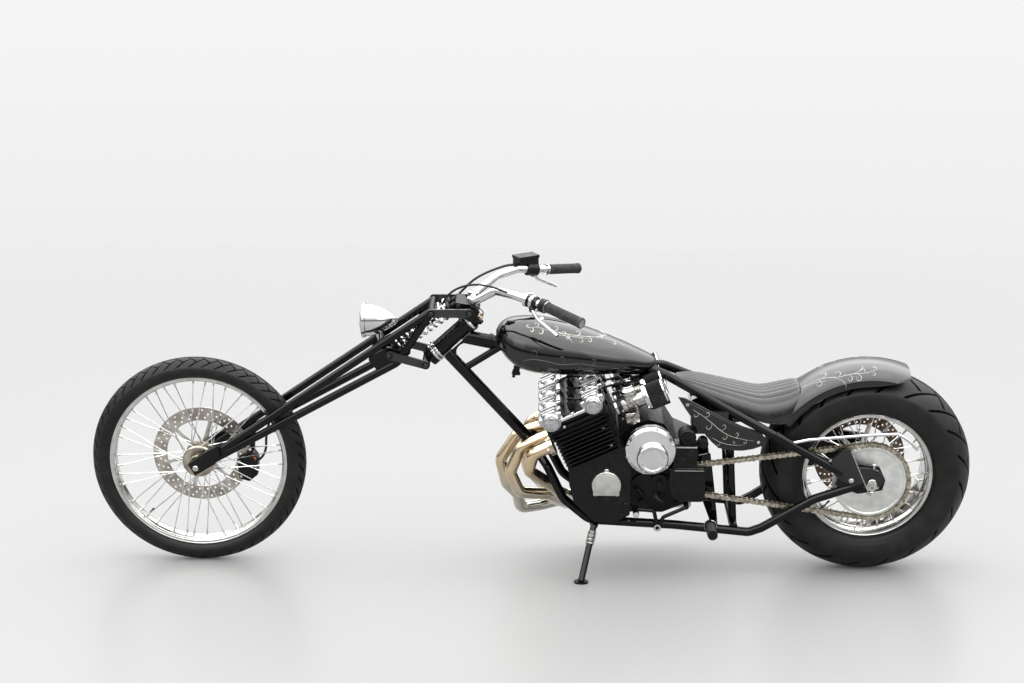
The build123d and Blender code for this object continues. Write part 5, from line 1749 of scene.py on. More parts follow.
@dataclass
class Headlight:
    """The bullet headlight with its rim, lens and mounting stalk."""

    front: Vector = field(default_factory=lambda: Vector((1580, 0, 804)))
    radius: float = 51.0
    length: float = 111.0

    def build(self) -> None:
        """Build the lamp."""
        r = self.radius
        knots = [(r - 0.5, -12, 0), (r - 1, -24, 0), (47, -40, 0), (38, -66, 0), (25, -88, 0), (12, -103, 0),
                 (3, -110, 0)]
        bowl = [(p.x, p.y) for p in smooth_line(knots, 4)] + [(0.0, -self.length + 0.4)]
        shell = Shape().turned([(r - 6, -6), (r - 2, -6), (r - 0.5, -10), *bowl], self.front, FORWARD, 64)
        shell.turned([(10.5, 0), (10.5, 27), (13, 29), (13, 34), (0, 34)], (1523, 0, 741), (0.25, 0, 1), 24)
        shell.piece("headlight_bowl", Body.STEERING, CHROME, Slot.CHROME, ["headlight_shell"], 40.0)
        rim = Shape().ringed(
            [(r - 5, -5), (r - 4.4, 0), (r - 2, 2), (r + 1, 1.6), (r + 3.4, -1), (r + 3.9, -5),
             (r + 3.4, -10), (r + 1, -12), (r - 1, -12)], self.front, FORWARD, 64,
        )
        rim.hexagon(self.front + Vector((-6.0, 0.0, -r - 2.0)), (0, 0, -1), 3.4, 4.0)
        rim.piece("headlight_rim", Body.STEERING, CHROME, Slot.CHROME, (), 40.0)
        lens = Shape().turned([(0, 8.6), (12, 8.4), (24, 7.4), (36, 5.2), (44, 2.6), (46.6, 0), (46.6, -3),
                               (0, -3)], self.front, FORWARD, 56)
        lens.piece("headlight_glass", Body.STEERING, LAMP_GLASS, Slot.GLASS, ["headlight_lens"], 40.0)
        dish = Shape().turned([(46.4, -3.4), (40, -14), (28, -24), (14, -30), (7, -31), (7, -18), (0, -16)],
                              self.front, FORWARD, 56)
        dish.piece("headlight_reflector", Body.STEERING, CHROME, Slot.CHROME)


@dataclass
class GirderFork:
    """What is added to the girder fork: springs, pivot bolts, bearing rings, stem nut and leg ends."""

    spring_low: Vector = field(default_factory=lambda: Vector((1486, 31, 720)))
    spring_high: Vector = field(default_factory=lambda: Vector((1288, 31, 866)))
    coil_radius: float = 21.5
    wire: float = 4.0
    coils: float = 9.5
    steer_up: Vector = field(default_factory=lambda: Vector((-math.sin(math.radians(47.0)), 0.0,
                                                             math.cos(math.radians(47.0)))))
    head_low: Vector = field(default_factory=lambda: Vector((1350, 0, 707)))

    def springs(self) -> None:
        """Wind the two springs round their rods, between a cup at each end."""
        axis = self.spring_high - self.spring_low
        length = axis.length
        basis = Shape.basis(self.spring_low, axis)
        start, end = 27.0, length - 27.0
        steps = int(self.coils * 20)
        line = []
        for step in range(steps + 1):
            share = step / steps
            turn = 2 * math.pi * self.coils * share
            height = start + (end - start) * share
            line.append(basis @ Vector((self.coil_radius * math.cos(turn), self.coil_radius * math.sin(turn),
                                        height)))
        coil = Shape().swept(line, self.wire, 8).mirrored()
        coil.piece("spring_coils", Body.STEERING, CHROME, Slot.CHROME, ["fork_springs"])
        rods = Shape()
        rods.turned([(0, -3), (11, -3), (11, 14), (8, 18), (5, 20), (5, length - 20), (9, length - 18),
                     (11.5, length - 12), (11.5, length), (0, length + 2)], self.spring_low, axis, 24)
        for foot, way in ((18, 1), (length - 18.0, -1)):
            rods.turned([(0, 0), (20, 0), (22.8, 1.5 * way), (22.8, 6 * way), (20, 8 * way), (0, 8 * way)],
                        self.spring_low + axis.normalized() * foot, axis, 32)
        rods.turned([(12.5, 60), (12.5, 92)], self.spring_low, axis, 24)
        rods.mirrored()
        rods.piece("spring_rods", Body.STEERING, SATIN_BLACK, Slot.CHROME)

    def bearings(self) -> None:
        """Add the chrome bearing rings at both ends of the head tube, and the stem nut."""
        lower, upper = Shape(), Shape()
        for shape, along in ((lower, -9.0), (lower, 2.4), (upper, 138.0)):
            foot = self.head_low + self.steer_up * along
            shape.ringed([(27, 0), (32.6, 0), (34, 1.6), (34, 7.6), (32.6, 9.2), (27, 9.2)], foot,
                         self.steer_up, 48)
        lower.piece("head_bearing_rings", Body.CHASSIS, CHROME, Slot.CHROME)
        upper.piece("stem_ring", Body.STEERING, CHROME, Slot.CHROME)
        nut = Shape()
        top = self.head_low + self.steer_up * 172.0
        collar = Shape().turned([(0, -26), (26, -26), (27, -24), (27, -12), (31, -11), (31, -1), (28, 0),
                                 (0, 0)], top, self.steer_up, 40)
        collar.block(top - self.steer_up * 6.0 + Vector((-4, 24, -4)), (16, 26, 12), 2.0)
        collar.piece("stem_collar", Body.STEERING, FRAME_BLACK, Slot.FRAME)
        nut.turned([(0, 0), (24, 0), (24, 2.4), (21, 3)], top, self.steer_up, 36)
        nut.hexagon(top + self.steer_up * 2.4, self.steer_up, 20.0, 11.0)
        nut.turned([(14.8, 0), (14.8, 18), (12.5, 20), (9, 20), (9, 14), (0, 14)], top, self.steer_up, 24)
        nut.piece("stem_nut", Body.STEERING, CHROME, Slot.CHROME)

    def pivots(self) -> None:
        """Put a nut and washer on each end of the link bolts."""
        bolts, caps = Shape(), Shape()
        for x, z in ((1492, 716), (1379, 686), (1244, 853), (1362, 852)):
            caps.turned([(0, 0), (12.6, 0), (12.6, 2), (11, 3), (0, 3)], (x, 86.6, z), ACROSS, 28)
            bolts.hexagon((x, 89.0, z), ACROSS, 7.4, 5.0)
        for x, z in ((1236, 866), (1280, 868)):
            bolts.hexagon((x, 52.0, z), ACROSS, 5.0, 4.0, 7.5)
        bolts.mirrored()
        caps.mirrored()
        bolts.piece("link_nuts", Body.STEERING, LINK_GREY, Slot.CHROME)
        caps.piece("link_bolt_ends", Body.STEERING, SATIN_BLACK, Slot.FRAME)

    def leg_ends(self) -> None:
        """Add the flat bars that hold the axle, square at their ends, with the axle's bolt heads."""
        bars, heads = Shape(), Shape()
        outline = [(2127, 351), (2105, 314), (2040, 355), (2024, 388), (2034, 414), (2069, 393)]
        bars.slab(outline, 61.0, 88.4, 1.6, 2)
        heads.turned([(0, 0), (9.4, 0), (9.4, 2.6), (8.2, 4.2), (5.6, 4.6), (5.6, 3), (0, 3)],
                     (2103, 88.2, 339), ACROSS, 28)
        for shape in (bars, heads):
            shape.mirrored()
        bars.piece("leg_end_bars", Body.STEERING, FRAME_BLACK, Slot.FRAME)
        heads.piece("front_axle_heads", Body.STEERING, POLISHED, Slot.CHROME)

    def build(self) -> None:
        """Build what is added to the fork."""
        self.springs()
        self.bearings()
        self.pivots()
        self.leg_ends()


@dataclass
class Handlebars:
    """Grips, levers, the perches' screws and the clamps on the bar."""

    inner: Vector = field(default_factory=lambda: Vector((1008, 210.7, 913.2)))
    outer: Vector = field(default_factory=lambda: Vector((905, 305, 892)))
    ribs: int = 22

    def grips(self) -> None:
        """Build the ribbed grips with a flange at the inner end and a rolled outer end."""
        length = (self.outer - self.inner).length
        profile = [(12.8, 0.2), (16.6, 0.2), (17, 1.2), (17, 4), (14.8, 5.2)]
        span = (length - 19.0) / self.ribs
        for number in range(self.ribs):
            foot = 6.0 + number * span
            profile += [(14.6, foot), (16.0, foot + 0.28 * span), (16.0, foot + 0.66 * span),
                        (14.6, foot + 0.9 * span)]
        profile += [(14.6, length - 12.6), (16.4, length - 11.5), (17.0, length - 9), (17.0, length - 3),
                    (15.5, length - 0.6), (12, length - 0.1), (0, length - 0.1)]
        shape = Shape().turned(profile, self.inner, self.outer - self.inner, 28).mirrored()
        shape.piece("ribbed_grips", Body.STEERING, GRIP_RUBBER, Slot.GRIP, ["grips"], 25.0)
        ring = Shape().ringed([(12.8, -4), (17.6, -4), (18.2, -3), (18.2, -0.6), (17.6, 0.1), (12.8, 0.1)],
                              self.inner, self.outer - self.inner, 32).mirrored()
        axis = (self.inner - self.outer).normalized()
        rings = Shape()
        for back in (7, 12.5, 18):
            rings.ringed([(12.9, 0), (19.4, 0), (20.2, 1), (20.2, 2.4), (19.4, 3.2), (12.9, 3.2)],
                         self.inner + axis * back, axis, 32)
        ring.take(rings.bm)
        sleeve = Shape().turned([(0, 0), (18.5, 0), (20.8, 2), (20.8, 12), (18, 14), (18, 22), (21.2, 24),
                                 (21.2, 32), (19, 34.5), (0, 34.5)], (1075, 167.6, 925.6), (-32, 20, -6), 32)
        sleeve.block((1058, 176, 944), (18, 20, 10), 3.0)
        ring.take(sleeve.bm)
        ring.piece("grip_rings", Body.STEERING, CHROME, Slot.CHROME)

    def controls(self) -> None:
        """Add the reservoir's lid, the screws of the perches and the levers' blades."""
        lid, screws, levers = Shape(), Shape(), Shape()
        turn = Matrix.Rotation(math.atan2(0.53, 0.85), 3, "Z")
        lid.block((1075, -188, 962), (66, 42, 3), 1.4, turn, 3)
        lid.block((1075, -188, 946), (68, 42.6, 4), 1.6, turn, 2)
        lid.piece("reservoir_lid", Body.STEERING, GLOSS_BLACK, Slot.ENGINE)
        for x, y in ((30, 17), (-30, 17), (30, -17), (-30, -17)):
            at = Vector((1075, -188, 966.4)) + turn @ Vector((x, y, 0.0))
            screws.turned([(0, -3), (3, -3), (3, -1.8), (2, -1.4), (0, -1.4)], at, UP, 12)
        for edge in (-1, 1):
            screws.hexagon((1058.0, edge * 196.0, 934.0), (0.1, edge * 0.4, 0.9), 4.2, 4.0, 6.0)
            screws.hexagon((1040.0, edge * 200.0, 900.0), (0.0, edge * 0.4, -0.9), 4.0, 4.0, 6.0)
            levers.swept(smooth_line([(1052.0, edge * 201.0, 901.0), (1036.0, edge * 222.0, 877.5),
                                      (1008.0, edge * 243.0, 861.0), (979.0, edge * 267.5, 842.5)], 5),
                         [5.2 - 0.06 * step for step in range(16)], 12, 0.8)
        screws.piece("control_screws", Body.STEERING, BOLT_ZINC, Slot.CHROME)
        levers.piece("lever_blades", Body.STEERING, POLISHED, Slot.CHROME)

    def clamps(self) -> None:
        """Add the riser caps and their bolts."""
        caps, bolts = Shape(), Shape()
        for edge in (-1, 1):
            caps.turned([(0, -1), (17, -1), (18, 1), (18, 7), (16, 9), (12, 10), (0, 10)],
                        (1236.0, edge * 34.0, 882.0), (-0.1, 0, 1), 28)
            bolts.domed((1235.0, edge * 34.0, 891.0), (-0.1, 0, 1), 6.0, 4.5)
        caps.piece("riser_caps", Body.STEERING, CHROME, Slot.CHROME)
        bolts.piece("riser_bolts", Body.STEERING, BOLT_ZINC, Slot.CHROME)

    def build(self) -> None:
        """Build what the bar carries."""
        self.grips()
        self.controls()
        self.clamps()


@dataclass
class Engine:
    """The engine's bright covers, its carburettors and the small parts on its castings."""

    crank: Vector = field(default_factory=lambda: Vector((820, 0, 341)))
    tilt: float = math.radians(25.0)
    screw_turns: tuple[float, ...] = (90, -42, -138)
    end_cover: float = 45.0
    intake_rows: tuple[float, ...] = (-132, -45, 45, 132)
    cam_spread: float = 69.0
    cam_height: float = 257.0
    cam_radius: float = 27.0
    cam_half: float = 214.0

    def on_barrel(self, out: float, y: float, up: float) -> Vector:
        """Return the point that lies up the cylinders and forward across them."""
        c, s = math.cos(self.tilt), math.sin(self.tilt)
        return self.crank + Vector((out * c + up * s, y, up * c - out * s))

    def up(self) -> Vector:
        """Return the direction of the cylinders."""
        return Vector((math.sin(self.tilt), 0.0, math.cos(self.tilt)))

    def round_crank(self, turn: float, radius: float) -> tuple[float, float]:
        """Return the x and z of a point at a turn in degrees and a radius round the crank."""
        angle = math.radians(turn)
        return self.crank.x + radius * math.cos(angle), self.crank.z + radius * math.sin(angle)

    def cam_covers(self) -> None:
        """Build the two cast cam covers with their end caps, bands, lumps, bridges and nuts."""
        covers, nuts, bridge = Shape(), Shape(), Shape()
        tilt = Matrix.Rotation(self.tilt, 3, "Y")
        for turn in (-1, 1):
            foot = self.on_barrel(turn * self.cam_spread, -self.cam_half, self.cam_height)
            n = 2 * self.cam_half
            profile = [(0, -7.6), (18, -7.4), (20.5, -6), (21.6, -3), (22, 0), (25, 0.6), (26.6, 2.6)]
            for start in (6.0, 118.0, 214.0, 310.0, n - 22.0):
                profile += [(self.cam_radius - 0.4, start), (self.cam_radius + 2.6, start + 1.6),
                            (self.cam_radius + 2.6, start + 12.4), (self.cam_radius - 0.4, start + 14)]
            profile += [(26.6, n - 2.6), (25, n - 0.6), (22, n), (21.6, n + 3), (20.5, n + 6), (18, n + 7.4),
                        (0, n + 7.6)]
            covers.turned(profile, foot, ACROSS, 56)
            middle = self.on_barrel(turn * self.cam_spread, 0.0, 251.0)
            covers.block(middle, (2 * self.cam_radius + 3, 2 * self.cam_half - 14, 13.0), 2.5, tilt, 3)
            for row in CYLINDER_ROWS:
                middle = self.on_barrel(turn * self.cam_spread, row, 262.0)
                covers.block(middle, (78, 66, 28), 8.0, tilt, 4)
                covers.block(self.on_barrel(turn * self.cam_spread, row, 278.0), (44, 50, 14), 5.0, tilt, 4)
                for edge in (-1, 1):
                    covers.block(self.on_barrel(turn * self.cam_spread, row + edge * 14.0, 280.0),
                                 (52, 6, 18), 2.4, tilt, 3)
            for row in (-107, 0, 107):
                for edge in (-1, 1):
                    at = self.on_barrel(turn * self.cam_spread + edge * 26.0, row, 258.0)
                    nuts.turned([(0, -10), (8.6, -10), (8.6, 0), (0, 0)], at, self.up(), 16)
                    nuts.domed(at, self.up(), 7.4, 6.4)
        for edge in (-1, 1):
            bridge.block(self.on_barrel(0.0, edge * 196.0, 249.6), (2 * self.cam_spread, 11.0, 9.4), 2.0,
                         tilt, 3)
            bridge.domed(self.on_barrel(0.0, edge * 196.0, 254.0), self.up(), 6.5, 6.0)
        covers.piece("cam_cover_castings", Body.CHASSIS, CAST_CHROME, Slot.CHROME, ["cam_covers"], 32.0)
        bridge.piece("cam_cover_bridges", Body.CHASSIS, CHROME, Slot.CHROME)
        nuts.piece("cam_cover_nuts", Body.CHASSIS, CHROME, Slot.CHROME)

    def head_parts(self) -> None:
        """Add the spark plugs with their caps and leads, and the bolts on the barrels' sides."""
        caps, metal = Shape(), Shape()
        for row in CYLINDER_ROWS:
            foot = self.on_barrel(0.0, row, 246.0)
            metal.turned([(9.5, 0), (9.5, 5), (6, 7), (6, 14), (0, 14)], foot, self.up(), 14)
            tip = self.on_barrel(-4.0, row, 288.0)
            caps.turned([(0, 10), (8.5, 10), (9, 14), (8, 34), (6, 38), (0, 39)], foot, self.up(), 16)
            end = Vector((720.0, row * 0.3, 632.0))
            caps.swept(smooth_line([tip - self.up() * 6, tip + self.up() * 6, tip + Vector((-34, 0, 4)),
                                    (tip + end) / 2 + Vector((0, 0, 9)), end], 6), 3.6, 8)
        for height in (112, 172, 226):
            for edge in (-1, 1):
                metal.domed(self.on_barrel(-66.0 if height < 200 else 40.0, edge * 195.0, height),
                            ACROSS * edge, 4.6, 4.0)
        caps.piece("plug_caps", Body.CHASSIS, SATIN_BLACK, Slot.HOSE)
        metal.piece("head_bolts", Body.CHASSIS, BOLT_ZINC, Slot.CHROME)

    def round_covers(self) -> None:
        """Build the alternator cover, the clutch cover and the crank's end covers."""
        bright = Shape()
        at = Vector((687, 150, 449))
        bright.turned([(75, 0.2), (75.6, 24), (77, 26), (77.6, 28), (77, 33.4), (74.5, 35.4), (71.5, 36.2),
                       (68.5, 39.6), (66, 40.4), (58, 38.8), (40, 45), (0, 45)], at, ACROSS, 96)
        cap = at + Vector((-6, 0, -16))
        bright.turned([(49.6, 24), (49.4, 54), (48.6, 61), (46.6, 66), (43.6, 69.4), (40, 70.6), (37, 70.6),
                       (35.4, 69.8), (34, 68.4), (0, 69)], cap, ACROSS, 96)
        bright.piece("alternator_cover", Body.CHASSIS, CHROME, Slot.CHROME, ["engine_covers"], 34.0)
        bolts = Shape()
        bolts.domed(at + Vector((73, 35.4, 0)), ACROSS, 4.4, 3.4)
        bolts.repeated(spun(at, 6, 15))
        ring = Shape()
        ring.domed(cap + Vector((42, 69.8, 0)), ACROSS, 3.0, 2.2, 10)
        ring.repeated(spun(cap, 8, 10))
        bolts.take(ring.bm)
        bolts.piece("alternator_bolts", Body.CHASSIS, BOLT_ZINC, Slot.CHROME)
        satin = Shape()
        outline = []
        cut = math.asin(33.0 / self.end_cover)
        for step in range(41):
            angle = -cut + (math.pi + 2 * cut) * step / 40
            outline.append(self.round_crank(math.degrees(angle), self.end_cover))
        satin.slab(outline, 185.2, 207.0, 2.4, 3)
        inner = [(820.0 + (x - 820.0) * 0.83, 343.0 + (z - 343.0) * 0.8) for x, z in outline]
        satin.slab(inner, 206.0, 208.2, 1.0, 2)
        for turn in self.screw_turns:
            x, z = self.round_crank(turn, self.end_cover)
            satin.turned([(0, 0), (7.4, 0), (7.4, 13), (6.4, 14), (0, 14)], (x, 185.2, z), ACROSS, 20)
        satin.turned([(60, 0.2), (60, 24), (52, 30), (20, 30), (18, 27), (0, 27)], (820, -185, 341), -ACROSS,
                     64)
        satin.turned([(80, 0.2), (80, 37), (78, 40), (70, 47.4), (66, 48), (30, 48), (28, 45), (0, 45)],
                     (690, -150, 330), -ACROSS, 80)
        satin.piece("crank_and_clutch_covers", Body.CHASSIS, SATIN_ALLOY, Slot.ALLOY, (), 34.0)
        screws = Shape()
        for turn in self.screw_turns:
            x, z = self.round_crank(turn, self.end_cover)
            screws.domed((x, 199.0, z), ACROSS, 4.6, 4.0)
        clutch = Shape()
        clutch.domed((690.0 + 74.0, -191.0, 330.0), -ACROSS, 4.6, 4.0)
        clutch.repeated(spun((690, 0, 330), 8))
        screws.take(clutch.bm)
        screws.piece("cover_screws", Body.CHASSIS, BOLT_ZINC, Slot.CHROME)

    def carburettors(self) -> None:
        """Build the bank of four slide carburettors with domed caps, bowls, linkage and clamps."""
        metal, chrome, black, brass = Shape(), Shape(), Shape(), Shape()
        for row in self.intake_rows:
            engine_side, filter_side = Vector((795.0, row, 566.0)), Vector((705.0, row, 606.0))
            along = (filter_side - engine_side).normalized()
            length = (filter_side - engine_side).length
            black.turned([(0, 0), (24, 0), (24, 5), (22.5, 7), (22.5, 17), (24, 19), (24, 24), (0, 24)],
                         engine_side, along, 32)
            metal.turned([(0, 24), (21, 24), (22, 27), (22, 40), (19, 43), (19, 60), (22, 63), (23, 70),
                          (23, length), (0, length)], engine_side, along, 32)
            chrome.turned([(0, length - 2), (38, length - 2), (41.6, length), (41.6, length + 9.4),
                           (40, length + 10), (0, length + 10)], engine_side, along, 48)
            up = Vector((0.2, 0, 1)).normalized()
            foot = Vector((752.0, row, 588.0))
            metal.turned([(0, 0), (19.5, 0), (19.5, 24), (21, 26), (21, 31), (19.5, 33), (19.5, 36),
                          (0, 36)], foot, up, 32)
            chrome.turned([(0, 35), (23, 35), (23.6, 37), (23.6, 42), (22, 44), (18.4, 48), (17, 49),
                           (16.4, 53.6), (15, 54.8), (0, 54.8)], foot, up, 36)
            down = Vector((-0.15, 0, -1)).normalized()
            bowl = Vector((744.0, row, 560.0))
            pitch = Matrix.Rotation(math.atan2(0.15, 1), 3, "Y")
            metal.block(bowl + down * 17, (43.6, 39.6, 33.6), 4.0, pitch, 3)
            metal.block(bowl + down * 10, (45, 41, 3.4), 1.2, pitch, 2)
            metal.turned([(0, 30), (15, 30), (14, 38), (11, 41), (0, 41)], bowl, down, 24)
            brass.hexagon(bowl + down * 40, down, 6.0, 5.0)
            for x, y in ((17, 15), (-17, 15), (17, -15), (-17, -15)):
                brass.domed(bowl + pitch @ Vector((x, y, -11.0)), down, 2.8, 3.0, 10)
                brass.domed(foot + up * 41.4 + Vector((x * 0.95, y * 0.95, 0)), up, 2.6, 2.6, 10)
            brass.turned([(0, 0), (4.2, 0), (4.2, 10), (3, 12), (0, 12)], Vector((772.0, row + 16.0, 568.0)),
                         ACROSS, 12)
            chrome.ringed([(24.2, 0), (25.4, 0.6), (25.4, 7.4), (24.2, 8)], engine_side + along * 3, along,
                          32)
        metal.swept([(750, -160, 590), (750, 160, 590)], 5.0, 12)
        metal.swept([(772, -162, 545), (772, 162, 545)], 3.2, 10)
        for row in (-88, 0, 88):
            metal.block((748.0, row, 596.0), (34, 30, 16), 3.0)
        metal.swept(smooth_line([(745, 154, 598), (728, 160, 575), (738, 162, 548),
                                 (752, 160, 536)], 6), 4.6, 10)
        brass.turned([(0, 0), (9, 0), (9, 3), (5, 4), (5, 8), (0, 8)], (752, 157, 540), ACROSS, 18)
        metal.piece("carburettor_bodies", Body.CHASSIS, ALLOY, Slot.ALLOY, ["carburettors"], 34.0)
        chrome.piece("carburettor_caps", Body.CHASSIS, POLISHED, Slot.CHROME, (), 34.0)
        black.piece("intake_rubbers", Body.CHASSIS, HOSE_RUBBER, Slot.HOSE)
        brass.piece("carburettor_screws", Body.CHASSIS, CHAIN_BRASS, Slot.ALLOY)

    def filters(self) -> None:
        """Build the pleated pod filters, each with a metal band at its neck and a metal end cap."""
        pleats, caps = Shape(), Shape()
        foot, tip = Vector((697, 0, 603)), Vector((641, 0, 628))
        axis = tip - foot
        length = axis.length
        for row in self.intake_rows:
            at = foot + ACROSS * row
            basis = Shape.basis(at, axis)

            def ring(height: float, swell: float) -> Callable[[float], Point]:
                """Return one pleated cross section."""
                return lambda angle: basis @ Vector((
                    (swell + 1.9 * math.cos(34 * angle)) * math.cos(angle),
                    (swell + 1.9 * math.cos(34 * angle)) * math.sin(angle), height,
                ))
            pleats.lofted([ring(2, 38), ring(6, 39.2), ring(length - 8, 39.2), ring(length - 5, 38.0)], 136)
            caps.turned([(0, length - 7), (40.2, length - 7), (41.2, length - 6), (41.2, length - 1.6),
                         (38, length - 0.2), (12, length), (10, length - 1.5), (0, length - 1.5)], at, axis,
                        44)
            caps.turned([(0, 0.4), (40.2, 0.4), (41.2, 1.4), (41.2, 6), (40.2, 7), (0, 7)], at, axis, 44)
        pleats.piece("filter_pleats", Body.CHASSIS, FILTER_PLEAT, Slot.FILTER, ["air_filters"], 60.0)
        caps.piece("filter_caps", Body.CHASSIS, CHROME, Slot.CHROME)

    def case_details(self) -> None:
        """Add ribs, bosses, screws and the oil lines to the crankcase and the sprocket cover."""
        black, bolts = Shape(), Shape()
        for x, z, size in ((760, 270, 9), (742, 245, 7), (600, 246, 8), (640, 262, 12),
                           (772, 236, 7)):
            black.turned([(0, -2), (size, -2), (size, 5), (size - 2, 6.5), (0, 6.5)],
                         (x, 98.0 if x < 745 else 184.0, z), ACROSS, 20)
        for angle in range(0, 360, 45):
            x, z = self.round_crank(angle + 10, 61.0)
            bolts.domed((x, 184.6, z), ACROSS, 4.8, 4.2)
        for x, z in ((524, 280), (600, 280), (614, 322), (604, 446), (548, 446), (522, 366)):
            bolts.domed((x, 147.6, z), ACROSS, 4.4, 3.8)
        for x, z in ((560, 430), (588, 404)):
            black.turned([(0, 0), (14, 0), (14, 3), (11, 4.4), (0, 4.4)], (x, 147.4, z), ACROSS, 24)
        black.block((576, 149, 416), (62, 4, 3), 1.0)
        black.block((576, 149, 398), (62, 4, 3), 1.0)
        black.swept(smooth_line([(716, 112, 250), (700, 118, 268), (716, 118, 292),
                                 (730, 112, 300)], 5), 5.0, 10)
        black.ringed([(70, 0), (73, 1), (73, 7), (70, 8)], (820, 176, 341), ACROSS, 64)
        bolts.hexagon((738, 98, 226), ACROSS, 9.0, 8.0, 12.0)
        bolts.hexagon((652, 112, 316), ACROSS, 11.0, 8.0, 15.0)
        ledges = Shape()
        ledges.block((573, 147, 450), (66, 10, 7), 1.6)
        ledges.block((563, 147, 375), (92, 10, 9), 1.8)
        ledges.piece("cover_ledges", Body.CHASSIS, SATIN_ALLOY, Slot.ALLOY)
        black.turned([(0, -20), (27, -20), (27, 22), (22, 28), (0, 30)], (571, 120, 478), ACROSS, 40)
        black.turned([(18, 28), (18, 33), (10, 34), (10, 29)], (571, 120, 478), ACROSS, 32)
        black.turned([(0, -30), (16, -30), (16, 4), (11, 6), (11, 10), (0, 10)], (521, 130, 455), ACROSS, 28)
        for height in (118, 150):
            black.swept(smooth_line([(668.0, height - 20, 282.0), (654.0, height - 14, 268.0),
                                     (640.0, height - 18, 262.0)], 5), 7.0, 12)
        black.piece("case_bosses", Body.CHASSIS, ENGINE_BLACK, Slot.ENGINE)
        bolts.piece("case_bolts", Body.CHASSIS, SATIN_BLACK, Slot.CHROME)

    def build(self) -> None:
        """Build what the engine shows beyond its castings."""
        self.cam_covers()
        self.head_parts()
        self.round_covers()
        self.carburettors()
        self.filters()
        self.case_details()


